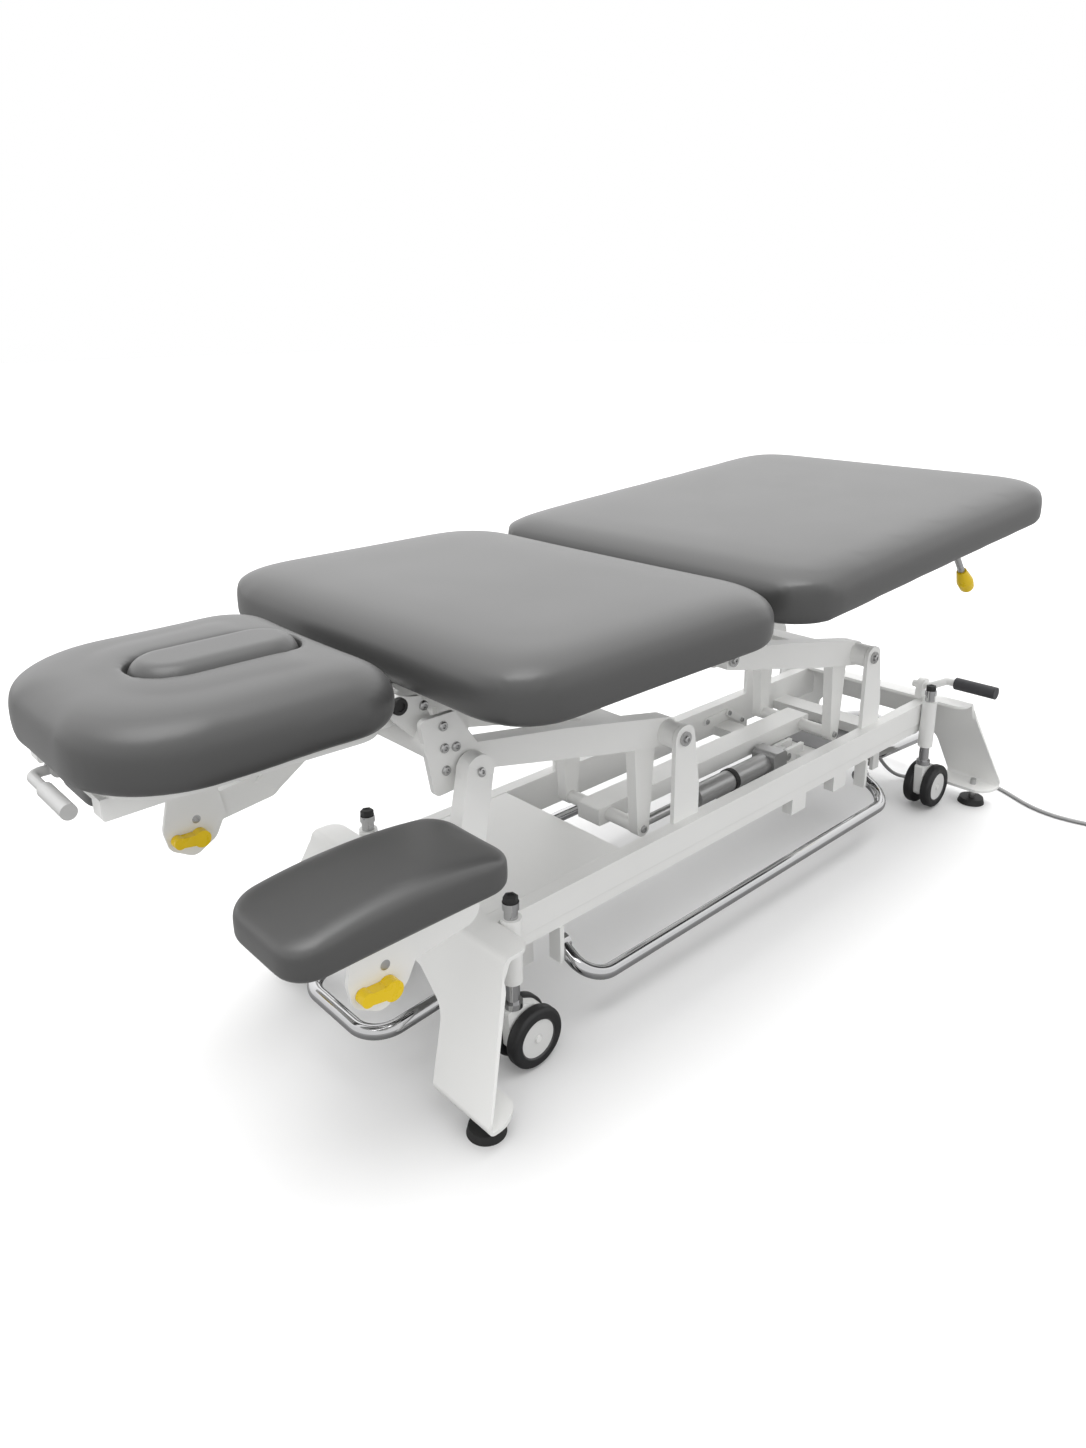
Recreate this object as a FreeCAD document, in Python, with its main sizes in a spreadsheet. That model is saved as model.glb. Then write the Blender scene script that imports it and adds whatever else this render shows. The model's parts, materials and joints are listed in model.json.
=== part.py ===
import FreeCAD, Part
import math
import os
from FreeCAD import Placement, Rotation, Vector

# Height-adjustable treatment table: a steel base on four levelling feet and four lowering casters,
# two swing arms that lift a level top frame, a padded head, middle and leg section, and two armrests.
# Millimetres. +X runs from the head end to the foot end, +Z is up, the floor is z = 0.

os.makedirs("parts", exist_ok=True)
doc = FreeCAD.newDocument("treatment_table")
sheet = doc.addObject("Spreadsheet::Sheet", "dims")

DIMENSIONS = {
    # base frame
    "rail_length": 1268.0, "rail_wide": 24.0, "rail_tall": 64.0, "rail_outer": 160.5,
    "rail_bottom": 174.0, "rail_lip_up": 20.0, "rail_lip_in": 3.0, "cross_wide": 50.0, "cross_tall": 20.0,
    "cross_apart": 1000.0, "panel_sheet": 2.0, "panel_skirt": 22.0, "panel_end": 326.0,
    "panel_start": 622.0, "panel_gap": 0.5,
    # end plates and feet
    "plate_sheet": 6.0, "flange_over": 14.0, "flange_deep": 46.0, "flange_half": 240.0, "leg_splay": 81.0,
    "bend_inner": 6.0, "bend_outer": 12.0, "flange_corner": 24.0, "tab_corner": 52.0, "leg_blend": 30.0,
    "arch_blend": 40.0, "shoulder_drop": 8.0, "leg_flare": 20.0,
    "leg_inner": 172.0, "leg_outer": 287.0, "leg_top_inner": 150.0, "arch_half": 85.0, "arch_high": 172.0,
    "arch_knee": 140.0, "foot_back": 37.0, "foot_y": 242.0, "tab_high": 37.0, "tab_long": 67.0,
    "pad_wide": 55.0, "pad_tall": 12.0, "stud_wide": 12.0, "nut_wide": 22.0, "nut_tall": 8.0,
    "stud_above": 12.0,
    # casters
    "caster_in": 50.0, "sleeve_wide": 30.0, "sleeve_bottom": 146.0, "sleeve_top": 248.0, "stem_wide": 20.0,
    "slide_fit": 0.06, "cap_wide": 24.0, "cap_bottom": 262.0, "cap_top": 272.7, "stem_bottom": 104.0,
    "fork_wide": 18.0, "fork_radius": 33.0, "trail": 22.0, "wheel_wide": 94.0, "tyre_wide": 20.0,
    "wheel_gap": 0.5, "wheel_lift": 4.0, "axle_wide": 10.0, "hub_wide": 64.0, "hub_deep": 2.5,
    "spin_fit": 0.06,
    "swivel_gap": 0.4,
    # swing arms and lift drive
    "pivot_front": -184.0, "pivot_rear": 390.0, "pivot_high": 383.0, "arm_length": 412.0, "arm_angle": 11.6,
    "arm_blend": 60.0, "stroke_spare": 55.0,
    "arm_tall": 50.0, "arm_wide": 30.0, "arm_outer": 105.0, "boss_wide": 44.0, "pin_wide": 16.0,
    "pin_fit": 0.06,
    "fin_thick": 8.0, "fin_top": 22.0, "fin_foot": 62.0, "fin_waist": 52.0, "side_gap": 0.6,
    "lever_back": 40.0, "lever_down": 166.0, "lever_top": 50.0, "lever_foot": 13.0, "lever_thick": 20.0,
    "lever_in": 10.0, "lever_tube": 24.0, "tie_plate": 8.0, "tie_from": 60.0, "tie_long": 90.0,
    "beam_wide": 50.0, "beam_tall": 32.0, "beam_y": 8.0, "beam_over": 26.0, "drive_y": -52.0,
    "drive_rear": 232.0,
    "drive_high": 196.0, "drive_wide": 40.0, "drive_nose": -40.0, "rod_wide": 18.0, "rod_short": 30.0,
    "motor_wide": 62.0, "motor_long": 130.0, "motor_drop": 18.0,
    # top frame
    "frame_y": 58.0, "frame_wide": 24.0, "frame_tall": 50.0, "frame_top": 586.0, "frame_head": -700.0,
    "frame_over": 1.585, "lug_thick": 10.0, "lug_wide": 56.0, "cross_tube": 46.0, "cross_tube_x": -672.0,
    "cross_tube_z": 524.0, "cross_half": 150.0, "drop_thick": 8.0, "hinge_x": -714.0, "hinge_z": 580.0,
    "hinge_wide": 24.0, "hinge_half": 128.0, "hinge_plate": 6.0, "leg_hinge_x": -181.0, "leg_hinge_z": 572.0,
    "leg_hinge_wide": 18.0,
    # sections
    "mid_head": -714.0, "mid_foot": -189.5, "half_wide": 351.0, "cushion_tall": 80.0,
    "board_thick": 10.0, "board_inset": 45.0, "cushion_gap": 0.4, "corner": 95.0, "draw_in": 3.0,
    "head_tip": -1090.0, "head_root": -731.0, "head_half": 200.0, "head_tip_half": 184.0,
    "head_bottom": 580.6,
    "head_corner": 120.0, "pan_thick": 10.0, "bar_tall": 25.0, "bar_wide": 24.0, "bar_y": 100.0,
    "hole_x": -880.0, "hole_long": 210.0, "hole_wide": 104.0, "plug_gap": 3.0, "plug_rise": 6.0,
    "knuckle_wall": 8.0, "knuckle_fit": 0.06, "leg_root": -170.0, "leg_length": 838.0, "leg_half": 346.0,
    "leg_tilt": 3.6, "leg_tube_y": 214.0, "leg_tube_end": 640.0, "leg_corner": 100.0,
    # armrests
    "carrier_y": 165.0, "carrier_wide": 22.0, "carrier_tall": 46.0, "arm_pivot_x": -628.0,
    "arm_pivot_z": 480.0,
    "elbow_x": -712.0, "elbow_z": 345.0, "plate_y": 245.0, "plate_x": -833.0, "lock_z": 304.0,
    "plate_pivot_z": 331.0, "plate_radius": 46.0, "plate_nose": 26.0, "rest_plate": 6.0, "rest_x": -844.0,
    "rest_y": 258.0, "rest_long": 290.0, "rest_half": 76.0, "rest_bottom": 412.0, "rest_tall": 58.0,
    "rest_board": 10.0, "rest_arch": 16.0, "rest_gap": 0.4, "knob_long": 46.0, "knob_big": 13.0,
    "knob_small": 9.0, "knob_thick": 15.0,
    # handles
    "handle_wide": 18.0, "handle_x": -1091.0, "handle_rod": 12.0, "handle_barrel": 16.0, "handle_y": 36.0,
    "handle_end": -88.0,
    "handle_z": 557.0, "lever_x": 520.0, "lever_y": -222.0, "lever_rod": 13.0, "bulb_long": 58.0,
    "bulb_wide": 32.0,
    "bar_rod": 22.0, "side_bar_y": 205.0, "side_bar_z": 95.0, "bar_root_y": 140.0, "bar_root_z": 130.0,
    "side_bar_x": 410.0, "side_bar_head": 436.0, "rail_block": 44.0, "block_front": 140.0,
    "block_rear": 279.0, "rail_block_tall": 32.0, "end_bar_x": 765.0, "end_bar_y": 92.0,
    "end_bar_root": 500.0, "bar_bend": 45.0,
    "lug_plate": 8.0, "lug_reach": 16.0, "pedal_x": 612.0, "pedal_y": -150.0, "pedal_z": 268.0,
    "pedal_rod": 16.0,
    "pedal_reach": 26.0, "pedal_rise": 12.0, "grip_wide": 26.0, "grip_long": 86.0, "block_thick": 14.0,
    # control box and mains lead
    "box_long": 150.0, "box_wide": 120.0, "box_tall": 52.0, "box_x": 425.0, "cord_wide": 8.0,
    "gland_long": 30.0,
    "gland_wide": 14.0, "coil_radius": 48.0, "coil_step": 9.4, "plug_long": 38.0, "plug_wide": 36.0,
    "pin_long": 19.0, "pin_round": 4.8, "pin_apart": 19.0,
}
for row, (alias, value) in enumerate(DIMENSIONS.items(), start=1):
    sheet.set("A%d" % row, alias.replace("_", " "))
    sheet.set("B%d" % row, str(value))
    sheet.setAlias("B%d" % row, alias)
doc.recompute()


class Sizes:
    """The sheet's driving dimensions, read by name."""

    def __getattr__(self, alias):
        return float(sheet.get(alias))


D = Sizes()
# The base centre lies where the whole length, head handle to foot bar, is centred on the origin.
X0 = -(D.handle_x - D.handle_wide / 2 + D.end_bar_x + D.bar_rod / 2) / 2
RAIL_TOP = D.rail_bottom + D.rail_tall
RAIL_INNER = D.rail_outer - D.rail_wide
RAIL_END = D.rail_length / 2
FLANGE_OUTER = RAIL_END + D.flange_over
FLANGE_INNER = FLANGE_OUTER - D.flange_deep
LEG_FOOT = FLANGE_OUTER + D.leg_splay
TAB_INNER = LEG_FOOT - D.tab_long
FOOT_X = LEG_FOOT - D.foot_back
CASTER_X = RAIL_END - D.caster_in
PLATE_TOP = RAIL_TOP + D.plate_sheet
CASTER_Y = D.rail_outer + D.sleeve_wide / 2
AXLE_Z = D.wheel_wide / 2 + D.wheel_lift
ARM_MIDDLE = D.arm_outer - D.arm_wide / 2
LEVER_MIDDLE = D.arm_outer - D.lever_in - D.lever_thick / 2
MID_BOTTOM = D.frame_top + D.board_thick + D.cushion_gap
FRAME_BOTTOM = D.frame_top - D.frame_tall
PAN_BOTTOM = D.head_bottom - D.cushion_gap - D.pan_thick
BAR_BOTTOM = PAN_BOTTOM - D.bar_tall
LEG_TUBE_BOTTOM = D.frame_top - D.bar_tall
REST_BOARD_BOTTOM = D.rest_bottom - D.rest_gap - D.rest_board
FLOOR_CORD = D.cord_wide / 2 + 0.5
NODES = []
AXIS_TURN = {"X": Rotation(Vector(0, 0, 1), Vector(1, 0, 0)),
             "Y": Rotation(Vector(0, 0, 1), Vector(0, 1, 0)),
             "Z": Rotation()}
ENDS = {"head": -1, "foot": 1}
SIDES = {"near": -1, "far": 1}


def bound(text):
    """A size expression with each sheet alias written as the sheet's cell."""
    words = text.replace("(", " ( ").replace(")", " ) ").split()
    return " ".join("dims." + word if word in DIMENSIONS else word for word in words)


def node(name, part):
    part.Label = name
    NODES.append(part)
    return part


def box(name, long, wide, tall, corner):
    part = doc.addObject("Part::Box", name)
    for prop, text in (("Length", long), ("Width", wide), ("Height", tall)):
        part.setExpression(prop, bound(text))
    part.Placement = Placement(Vector(*corner), Rotation())
    return part


def cylinder(name, wide, tall, start, axis="Z"):
    part = doc.addObject("Part::Cylinder", name)
    part.setExpression("Radius", bound("( " + wide + " ) / 2"))
    part.setExpression("Height", bound(tall))
    part.Placement = Placement(Vector(*start), AXIS_TURN[axis])
    return part


def fuse(name, parts):
    part = doc.addObject("Part::MultiFuse", name)
    part.Shapes = parts
    return part


def common(name, parts):
    part = doc.addObject("Part::MultiCommon", name)
    part.Shapes = parts
    return part


def cut(name, base, tool):
    part = doc.addObject("Part::Cut", name)
    part.Base = base
    part.Tool = tool
    return part


def group(name, parts):
    part = doc.addObject("Part::Compound", name)
    part.Links = parts
    return part


def mirrored(name, source):
    """The far-side copy of a near-side piece."""
    part = doc.addObject("Part::Mirroring", name)
    part.Source = source
    part.Normal = Vector(0, 1, 0)
    return part


def solid(name, shape, placement=Placement()):
    if shape.Volume < 0:
        shape.reverse()
    part = doc.addObject("Part::Feature", name)
    part.Shape = shape
    part.Placement = placement
    return part


def rounded(corners, sag=0.0):
    """Closed outline from (u, v, radius) corners: sides joined by tangent arcs, drawn in by sag."""
    ends = []
    for index, (u, v, radius) in enumerate(corners):
        here = Vector(u, v, 0)
        before = Vector(*corners[index - 1][:2], 0) - here
        after = Vector(*corners[(index + 1) % len(corners)][:2], 0) - here
        half = before.getAngle(after) / 2
        before.normalize()
        after.normalize()
        reach = radius / math.tan(half)
        bisector = (before + after).normalize() if radius else Vector()
        middle = here + bisector * (radius / math.sin(half) - radius)
        ends.append((here + before * reach, middle if radius else None, here + after * reach))
    centre = Vector()
    for u, v, radius in corners:
        centre += Vector(u, v, 0) / len(corners)
    edges = []
    for index, (start, middle, end) in enumerate(ends):
        if middle:
            edges.append(Part.Arc(start, middle, end))
        following = ends[(index + 1) % len(ends)][0]
        side = following - end
        if side.Length < 1e-6:
            continue
        if sag:
            inward = (centre - (end + following) / 2)
            inward -= side * (inward.dot(side) / side.dot(side))
            halfway = (end + following) / 2 + inward.normalize() * sag
            edges.append(Part.Arc(end, halfway, following))
        else:
            edges.append(Part.LineSegment(end, following))
    return edges


def hole(u, v, radius):
    return [Part.Circle(Vector(u, v, 0), Vector(0, 0, 1), radius)]


def prism(name, plane, outlines, depth, centre=(0, 0, 0)):
    """A padded sketch, half its depth to each side of the plane through centre."""
    body = doc.addObject("PartDesign::Body", name)
    sketch = body.newObject("Sketcher::SketchObject", name + "_outline")
    support = next(item for item in body.Origin.OriginFeatures if item.Role == plane + "_Plane")
    sketch.AttachmentSupport = [(support, "")]
    sketch.MapMode = "FlatFace"
    for outline in outlines:
        sketch.addGeometry(outline, False)
    pad = body.newObject("PartDesign::Pad", name + "_pad")
    pad.Profile = sketch
    pad.SideType = "Symmetric"
    pad.setExpression("Length", bound(depth))
    body.Placement = Placement(Vector(*centre), Rotation())
    return body


def band(points, wide):
    """Outline of a strip of even width along a bent centre line, with round ends."""
    sides = {1: [], -1: []}
    for index, (u, v) in enumerate(points):
        here = Vector(u, v, 0)
        runs = []
        if index:
            runs.append((here - Vector(*points[index - 1], 0)).normalize())
        if index < len(points) - 1:
            runs.append((Vector(*points[index + 1], 0) - here).normalize())
        along = sum(runs[1:], runs[0]).normalize()
        stretch = wide / 2 / math.cos(runs[0].getAngle(runs[-1]) / 2)
        if index == 0:
            here = here - along * wide / 2
        if index == len(points) - 1:
            here = here + along * wide / 2
        for sign in sides:
            sides[sign].append(here + Vector(-along.y, along.x, 0) * stretch * sign)
    corners = []
    last = len(points) - 1
    for place in list(enumerate(sides[1])) + list(enumerate(sides[-1]))[::-1]:
        index, spot = place
        corners.append((spot.x, spot.y, wide * 0.499 if index in (0, last) else wide * 0.9))
    return rounded(corners)


def route(points, bend=None):
    """Straight runs joined by tangent arcs; with no bend given, each arc is as large as its runs allow."""
    spots = [Vector(*point) for point in points]
    edges = []
    radii = []
    start = spots[0]
    for index in range(1, len(spots) - 1):
        before = spots[index - 1] - spots[index]
        after = spots[index + 1] - spots[index]
        half = before.getAngle(after) / 2
        shorter = min(before.Length, after.Length)
        radius = bend if bend else 0.45 * shorter * math.tan(half)
        reach = radius / math.tan(half)
        before.normalize()
        after.normalize()
        enter = spots[index] + before * reach
        leave = spots[index] + after * reach
        middle = spots[index] + (before + after).normalize() * (radius / math.sin(half) - radius)
        edges.append(Part.LineSegment(start, enter).toShape())
        edges.append(Part.Arc(enter, middle, leave).toShape())
        radii.append(radius)
        start = leave
    edges.append(Part.LineSegment(start, spots[-1]).toShape())
    return Part.Wire(edges), radii


def sweep(wire, wide):
    """A round bar or cord of one diameter along a wire."""
    first = wire.OrderedEdges[0]
    start = first.valueAt(first.FirstParameter)
    along = first.tangentAt(first.FirstParameter)
    profile = Part.Wire(Part.Circle(start, along, wide / 2).toShape())
    return wire.makePipeShell([profile], True, False)


def segment(start, end):
    return Part.LineSegment(Vector(*start, 0), Vector(*end, 0))


def rod(name, points, wide, bend):
    return solid(name, sweep(route(points, bend)[0], wide))


# Cushions

CUSHION_LEVELS = ((0.0, 13.0), (0.16, 3.0), (0.36, 0.0), (0.62, 6.0), (0.84, 22.0), (0.96, 50.0),
                  (1.0, 92.0))


def pillow(corners, bottom, tall, share, sag):
    """A crowned cushion: outlines that swell from the base, turn over the edge and close in on the crown."""
    centre_u = sum(corner[0] for corner in corners) / len(corners)
    sections = []
    for level, inset in CUSHION_LEVELS:
        inset = inset * share
        shrunk = []
        for u, v, radius in corners:
            inner_u = u + inset if u < centre_u else u - inset
            inner_v = v + inset if v < 0 else v - inset
            shrunk.append((inner_u, inner_v, radius - inset * 0.6))
        wire = Part.Wire([edge.toShape() for edge in rounded(shrunk, sag)])
        wire.translate(Vector(0, 0, bottom + tall * level))
        sections.append(wire)
    return Part.makeLoft(sections, True, False)


def corners_of(left, right, left_half, right_half, left_radius, right_radius):
    return [(left, -left_half, left_radius), (right, -right_half, right_radius),
            (right, right_half, right_radius), (left, left_half, left_radius)]


# Base

def base_frame():
    lip = D.rail_bottom + D.rail_lip_up
    corners = [(-RAIL_INNER, D.rail_bottom), (-RAIL_INNER, RAIL_TOP), (-D.rail_outer, RAIL_TOP),
               (-D.rail_outer, lip), (-D.rail_outer + D.rail_lip_in, lip - D.rail_lip_in),
               (-D.rail_outer + D.rail_lip_in, D.rail_bottom)]
    near = prism("rail_near", "YZ", [rounded([(u, v, 0) for u, v in corners])], "rail_length", (X0, 0, 0))
    parts = [near, mirrored("rail_far", near)]
    spots = {"head": -D.cross_apart / 2, "drive": D.drive_rear + D.cross_wide, "foot": D.cross_apart / 2}
    for place, x in spots.items():
        corner = (X0 + x - D.cross_wide / 2, -RAIL_INNER, D.rail_bottom)
        parts.append(box("crossmember_" + place, "cross_wide", "2 * ( rail_outer - rail_wide )",
                         "cross_tall",
                         corner))
    ear = [(X0 + D.drive_rear - D.pin_wide, D.drive_high + D.pin_wide, D.pin_wide * 0.9),
           (X0 + D.drive_rear + D.cross_wide, D.drive_high + D.pin_wide, 0),
           (X0 + D.drive_rear + D.cross_wide, D.drive_high - D.pin_wide, 0),
           (X0 + D.drive_rear - D.pin_wide, D.drive_high - D.pin_wide, D.pin_wide * 0.9)]
    bore = hole(X0 + D.drive_rear, D.drive_high, D.pin_wide / 2 + D.pin_fit)
    for side, sign in SIDES.items():
        y = D.drive_y + sign * (D.rod_wide / 2 + D.side_gap + D.lug_plate / 2)
        parts.append(prism("drive_ear_" + side, "XZ", [rounded(ear), bore], "lug_plate", (0, y, 0)))
    for tag, x in (("front", D.block_front), ("rear", D.block_rear)):
        parts.append(box("rail_block_" + tag, "rail_block", "rail_wide - rail_lip_in", "rail_block_tall + 1",
                         (X0 + x - D.rail_block / 2, -D.rail_outer + D.rail_lip_in,
                          D.rail_bottom - D.rail_block_tall)))
    node("base_frame", fuse("base_frame", parts))


def end_plate(end, sign):
    sheet_run = D.plate_sheet * 1.1
    profile = [(FLANGE_INNER, RAIL_TOP, 0), (FLANGE_OUTER - sheet_run, RAIL_TOP, D.bend_inner),
               (LEG_FOOT - sheet_run, D.tab_high + D.plate_sheet, D.bend_inner),
               (TAB_INNER, D.tab_high + D.plate_sheet, 0), (TAB_INNER, D.tab_high, 0),
               (LEG_FOOT, D.tab_high, D.bend_outer), (FLANGE_OUTER, PLATE_TOP, D.bend_outer),
               (FLANGE_INNER, PLATE_TOP, 0)]
    bent = prism(end + "_bent_sheet", "XZ", [rounded([(X0 + sign * u, v, r) for u, v, r in profile])],
                 "2 * leg_outer")
    half = [(D.flange_half, PLATE_TOP + 1, 0), (D.flange_half, RAIL_TOP - D.shoulder_drop, D.leg_blend),
            (D.leg_outer, D.tab_high + D.leg_flare, D.leg_blend), (D.leg_outer, D.tab_high - 1, 0),
            (D.leg_inner, D.tab_high - 1, 0), (D.leg_top_inner, D.arch_knee, D.arch_blend),
            (D.arch_half, D.arch_high, D.leg_blend)]
    front = half + [(-u, v, r) for u, v, r in half[::-1]]
    legs = prism(end + "_leg_outline", "YZ", [rounded(front)], "4 * leg_splay + 2 * flange_deep",
                 (X0 + sign * FLANGE_OUTER, 0, 0))
    reach = (FLANGE_OUTER + TAB_INNER) / 2
    plan = [(FLANGE_INNER, D.flange_half, D.flange_corner), (reach, D.flange_half, 0),
            (TAB_INNER, D.leg_outer, D.tab_corner), (LEG_FOOT + 1, D.leg_outer, 0)]
    plan = plan + [(u, -v, r) for u, v, r in plan[::-1]]
    top = prism(end + "_plan_outline", "XY", [rounded([(X0 + sign * u, v, r) for u, v, r in plan])],
                "4 * rail_bottom")
    shape = common(end + "_plate_sheet", [bent, legs, top])
    if end == "foot":
        block = [(X0 + D.pedal_x - D.pedal_rod, PLATE_TOP, 0), (X0 + D.pedal_x + D.pedal_rod, PLATE_TOP, 0),
                 (X0 + D.pedal_x + D.pedal_rod, D.pedal_z + D.pedal_rod, D.pedal_rod * 0.9),
                 (X0 + D.pedal_x - D.pedal_rod, D.pedal_z + D.pedal_rod, D.pedal_rod * 0.9)]
        bore = hole(X0 + D.pedal_x, D.pedal_z, D.pedal_rod / 2 + D.pin_fit)
        bearing = prism("pedal_bearing", "XZ", [rounded(block), bore], "block_thick",
                        (0, D.pedal_y + D.block_thick / 2 + 1, 0))
        shape = fuse("foot_plate_weldment", [shape, bearing])
    bored = shape
    for side, across in SIDES.items():
        drill = cylinder(end + "_stud_hole_" + side, "stud_wide + 2 * pin_fit", "3 * plate_sheet",
                         (X0 + sign * FOOT_X, across * D.foot_y, D.tab_high - D.plate_sheet))
        bored = cut(end + "_plate_bored_" + side, bored, drill)
    node(end + "_end_plate", bored)


def leveling_feet():
    studs = []
    pads = []
    for end, along in ENDS.items():
        for side, across in SIDES.items():
            x = X0 + along * FOOT_X
            y = across * D.foot_y
            tag = end + "_" + side
            stud = cylinder("stud_" + tag, "stud_wide", "tab_high + plate_sheet + stud_above - pad_tall",
                            (x, y, D.pad_tall))
            nut = cylinder("nut_" + tag, "nut_wide", "nut_tall", (x, y, D.tab_high - D.nut_tall))
            studs.append(fuse("stud_nut_" + tag, [stud, nut]))
            pad = doc.addObject("Part::Cone", "pad_" + tag)
            pad.setExpression("Radius1", bound("pad_wide / 2"))
            pad.setExpression("Radius2", bound("pad_wide / 2.25"))
            pad.setExpression("Height", bound("pad_tall"))
            pad.Placement = Placement(Vector(x, y, 0), Rotation())
            pads.append(pad)
    node("leveling_studs", group("leveling_studs", studs))
    node("leveling_pads", group("leveling_pads", pads))


def cover_panel():
    wide = RAIL_INNER - D.panel_gap
    skirt = RAIL_TOP - D.panel_skirt
    inner = wide - D.panel_sheet
    corners = [(-wide, skirt, 0), (-wide, RAIL_TOP, 1.5), (wide, RAIL_TOP, 1.5), (wide, skirt, 0),
               (inner, skirt, 0),
               (inner, RAIL_TOP - D.panel_sheet, 0), (-inner, RAIL_TOP - D.panel_sheet, 0),
               (-inner, skirt, 0)]
    middle = -(D.panel_start + D.panel_end) / 2
    node("base_cover_panel", prism("base_cover_panel", "YZ", [rounded(corners)], "panel_start - panel_end",
                                   (X0 + middle, 0, 0)))


def pivot_fins():
    fins = []
    for end, pivot in (("front", D.pivot_front), ("rear", D.pivot_rear)):
        x = X0 + pivot
        top = D.pivot_high + D.fin_top
        corners = [(x - D.fin_top, top, D.fin_top * 0.99), (x + D.fin_top, top, D.fin_top * 0.99),
                   (x + D.fin_foot - D.fin_top, RAIL_TOP + D.fin_waist, 30),
                   (x + D.fin_foot - D.fin_top, RAIL_TOP, 0),
                   (x - D.fin_top, RAIL_TOP, 0)]
        bore = hole(x, D.pivot_high, D.pin_wide / 2 + D.pin_fit)
        near = prism("fin_%s_near" % end, "XZ", [rounded(corners), bore], "fin_thick",
                     (0, -RAIL_INNER - D.fin_thick / 2, 0))
        fins += [near, mirrored("fin_%s_far" % end, near)]
    node("pivot_fins", group("pivot_fins", fins))


def pin(name, x, z, inner, reach):
    """A headed hinge pin through the near side, from inner out past the face at reach."""
    shank = cylinder(name + "_shank", "pin_wide", str(reach - inner), (x, -reach, z), "Y")
    head = cylinder(name + "_head", "1.5 * pin_wide", "fin_thick / 2", (x, -reach - D.fin_thick / 2, z), "Y")
    near = fuse(name + "_near", [shank, head])
    return [near, mirrored(name + "_far", near)]


def pivot_pins():
    pins = []
    for tag, pivot in (("front", D.pivot_front), ("rear", D.pivot_rear)):
        inner = D.arm_outer - D.arm_wide
        pins += pin("base_pin_" + tag, X0 + pivot, D.pivot_high, inner, RAIL_INNER + D.fin_thick)
    drive = D.rod_wide / 2 + D.side_gap + D.lug_plate
    pins.append(cylinder("drive_pin", "pin_wide", "rod_wide + 2 * side_gap + 2 * lug_plate",
                         (X0 + D.drive_rear, D.drive_y - drive, D.drive_high), "Y"))
    node("base_pivot_pins", group("base_pivot_pins", pins))
    pins = []
    for tag, pivot in (("front", D.pivot_front), ("rear", D.pivot_rear)):
        x, z = arm_tip(pivot)
        pins += pin("top_pin_" + tag, x, z, D.frame_y, D.arm_outer + D.side_gap)
    node("top_pivot_pins", group("top_pivot_pins", pins))


def caster_sleeves():
    sleeves = []
    for end, along in ENDS.items():
        for side, across in SIDES.items():
            spot = (X0 + along * CASTER_X, across * CASTER_Y, D.sleeve_bottom)
            wall = cylinder("sleeve_wall_%s_%s" % (end, side), "sleeve_wide", "sleeve_top - sleeve_bottom",
                            spot)
            bore = cylinder("sleeve_bore_%s_%s" % (end, side), "stem_wide + 2 * slide_fit",
                            "sleeve_top - sleeve_bottom", spot)
            sleeves.append(cut("sleeve_%s_%s" % (end, side), wall, bore))
    node("caster_sleeves", group("caster_sleeves", sleeves))


def caster(end, side, along, across):
    tag = side + "_" + end
    x = X0 + along * CASTER_X
    y = across * CASTER_Y
    stem = cylinder("stem_rod_" + tag, "stem_wide", "cap_top - stem_bottom", (x, y, D.stem_bottom))
    collar = cylinder("stem_collar_" + tag, "cap_wide + 4", "fork_wide / 2", (x, y, D.stem_bottom))
    cap = cylinder("stem_cap_" + tag, "cap_wide", "cap_top - cap_bottom", (x, y, D.cap_bottom))
    node("caster_stem_" + tag, fuse("caster_stem_" + tag, [stem, collar, cap]))
    axle_x = x + D.trail
    top = D.stem_bottom - D.swivel_gap
    hood = [(x - D.cap_wide * 0.75, top, 4), (x + D.cap_wide * 0.6, top, 12),
            (axle_x + D.fork_radius, AXLE_Z + D.fork_radius, D.fork_radius * 0.8),
            (axle_x + D.fork_radius * 0.9, AXLE_Z - D.fork_radius * 0.7, 14),
            (x - D.cap_wide * 0.5, AXLE_Z - D.fork_radius * 0.5, 10)]
    web = prism("fork_web_" + tag, "XZ", [rounded(hood)], "fork_wide", (0, y, 0))
    axle = cylinder("fork_axle_" + tag, "axle_wide", "fork_wide + 2 * tyre_wide",
                    (axle_x, y - D.fork_wide / 2 - D.tyre_wide, AXLE_Z), "Y")
    node("caster_fork_" + tag, fuse("caster_fork_" + tag, [web, axle]))
    wheels = []
    for face, out in SIDES.items():
        inner = D.fork_wide / 2 + D.wheel_gap
        radius = D.wheel_wide / 2
        bore = D.axle_wide / 2 + D.spin_fit
        outer = inner + D.tyre_wide
        dish = outer - D.hub_deep
        corners = [(bore, inner, 0), (radius, inner, 5), (radius, outer, 7), (D.hub_wide / 2, outer, 0),
                   (D.hub_wide / 2 - D.hub_deep, dish, 0), (bore, dish, 0)]
        ring = doc.addObject("PartDesign::Body", "wheel_%s_%s" % (face, tag))
        sketch = ring.newObject("Sketcher::SketchObject", "wheel_section_%s_%s" % (face, tag))
        support = next(item for item in ring.Origin.OriginFeatures if item.Role == "XY_Plane")
        sketch.AttachmentSupport = [(support, "")]
        sketch.MapMode = "FlatFace"
        sketch.addGeometry(rounded(corners), False)
        spin = ring.newObject("PartDesign::Revolution", "wheel_spin_%s_%s" % (face, tag))
        spin.Profile = sketch
        spin.ReferenceAxis = (sketch, ["V_Axis"])
        turn = Rotation(Vector(1, 0, 0), 0 if out > 0 else 180)
        ring.Placement = Placement(Vector(axle_x, y, AXLE_Z), turn)
        wheels.append(ring)
    node("caster_wheels_" + tag, group("caster_wheels_" + tag, wheels))


# Lift

def arm_tip(pivot):
    angle = math.radians(D.arm_angle)
    return X0 + pivot - D.arm_length * math.cos(angle), D.pivot_high + D.arm_length * math.sin(angle)


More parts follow.
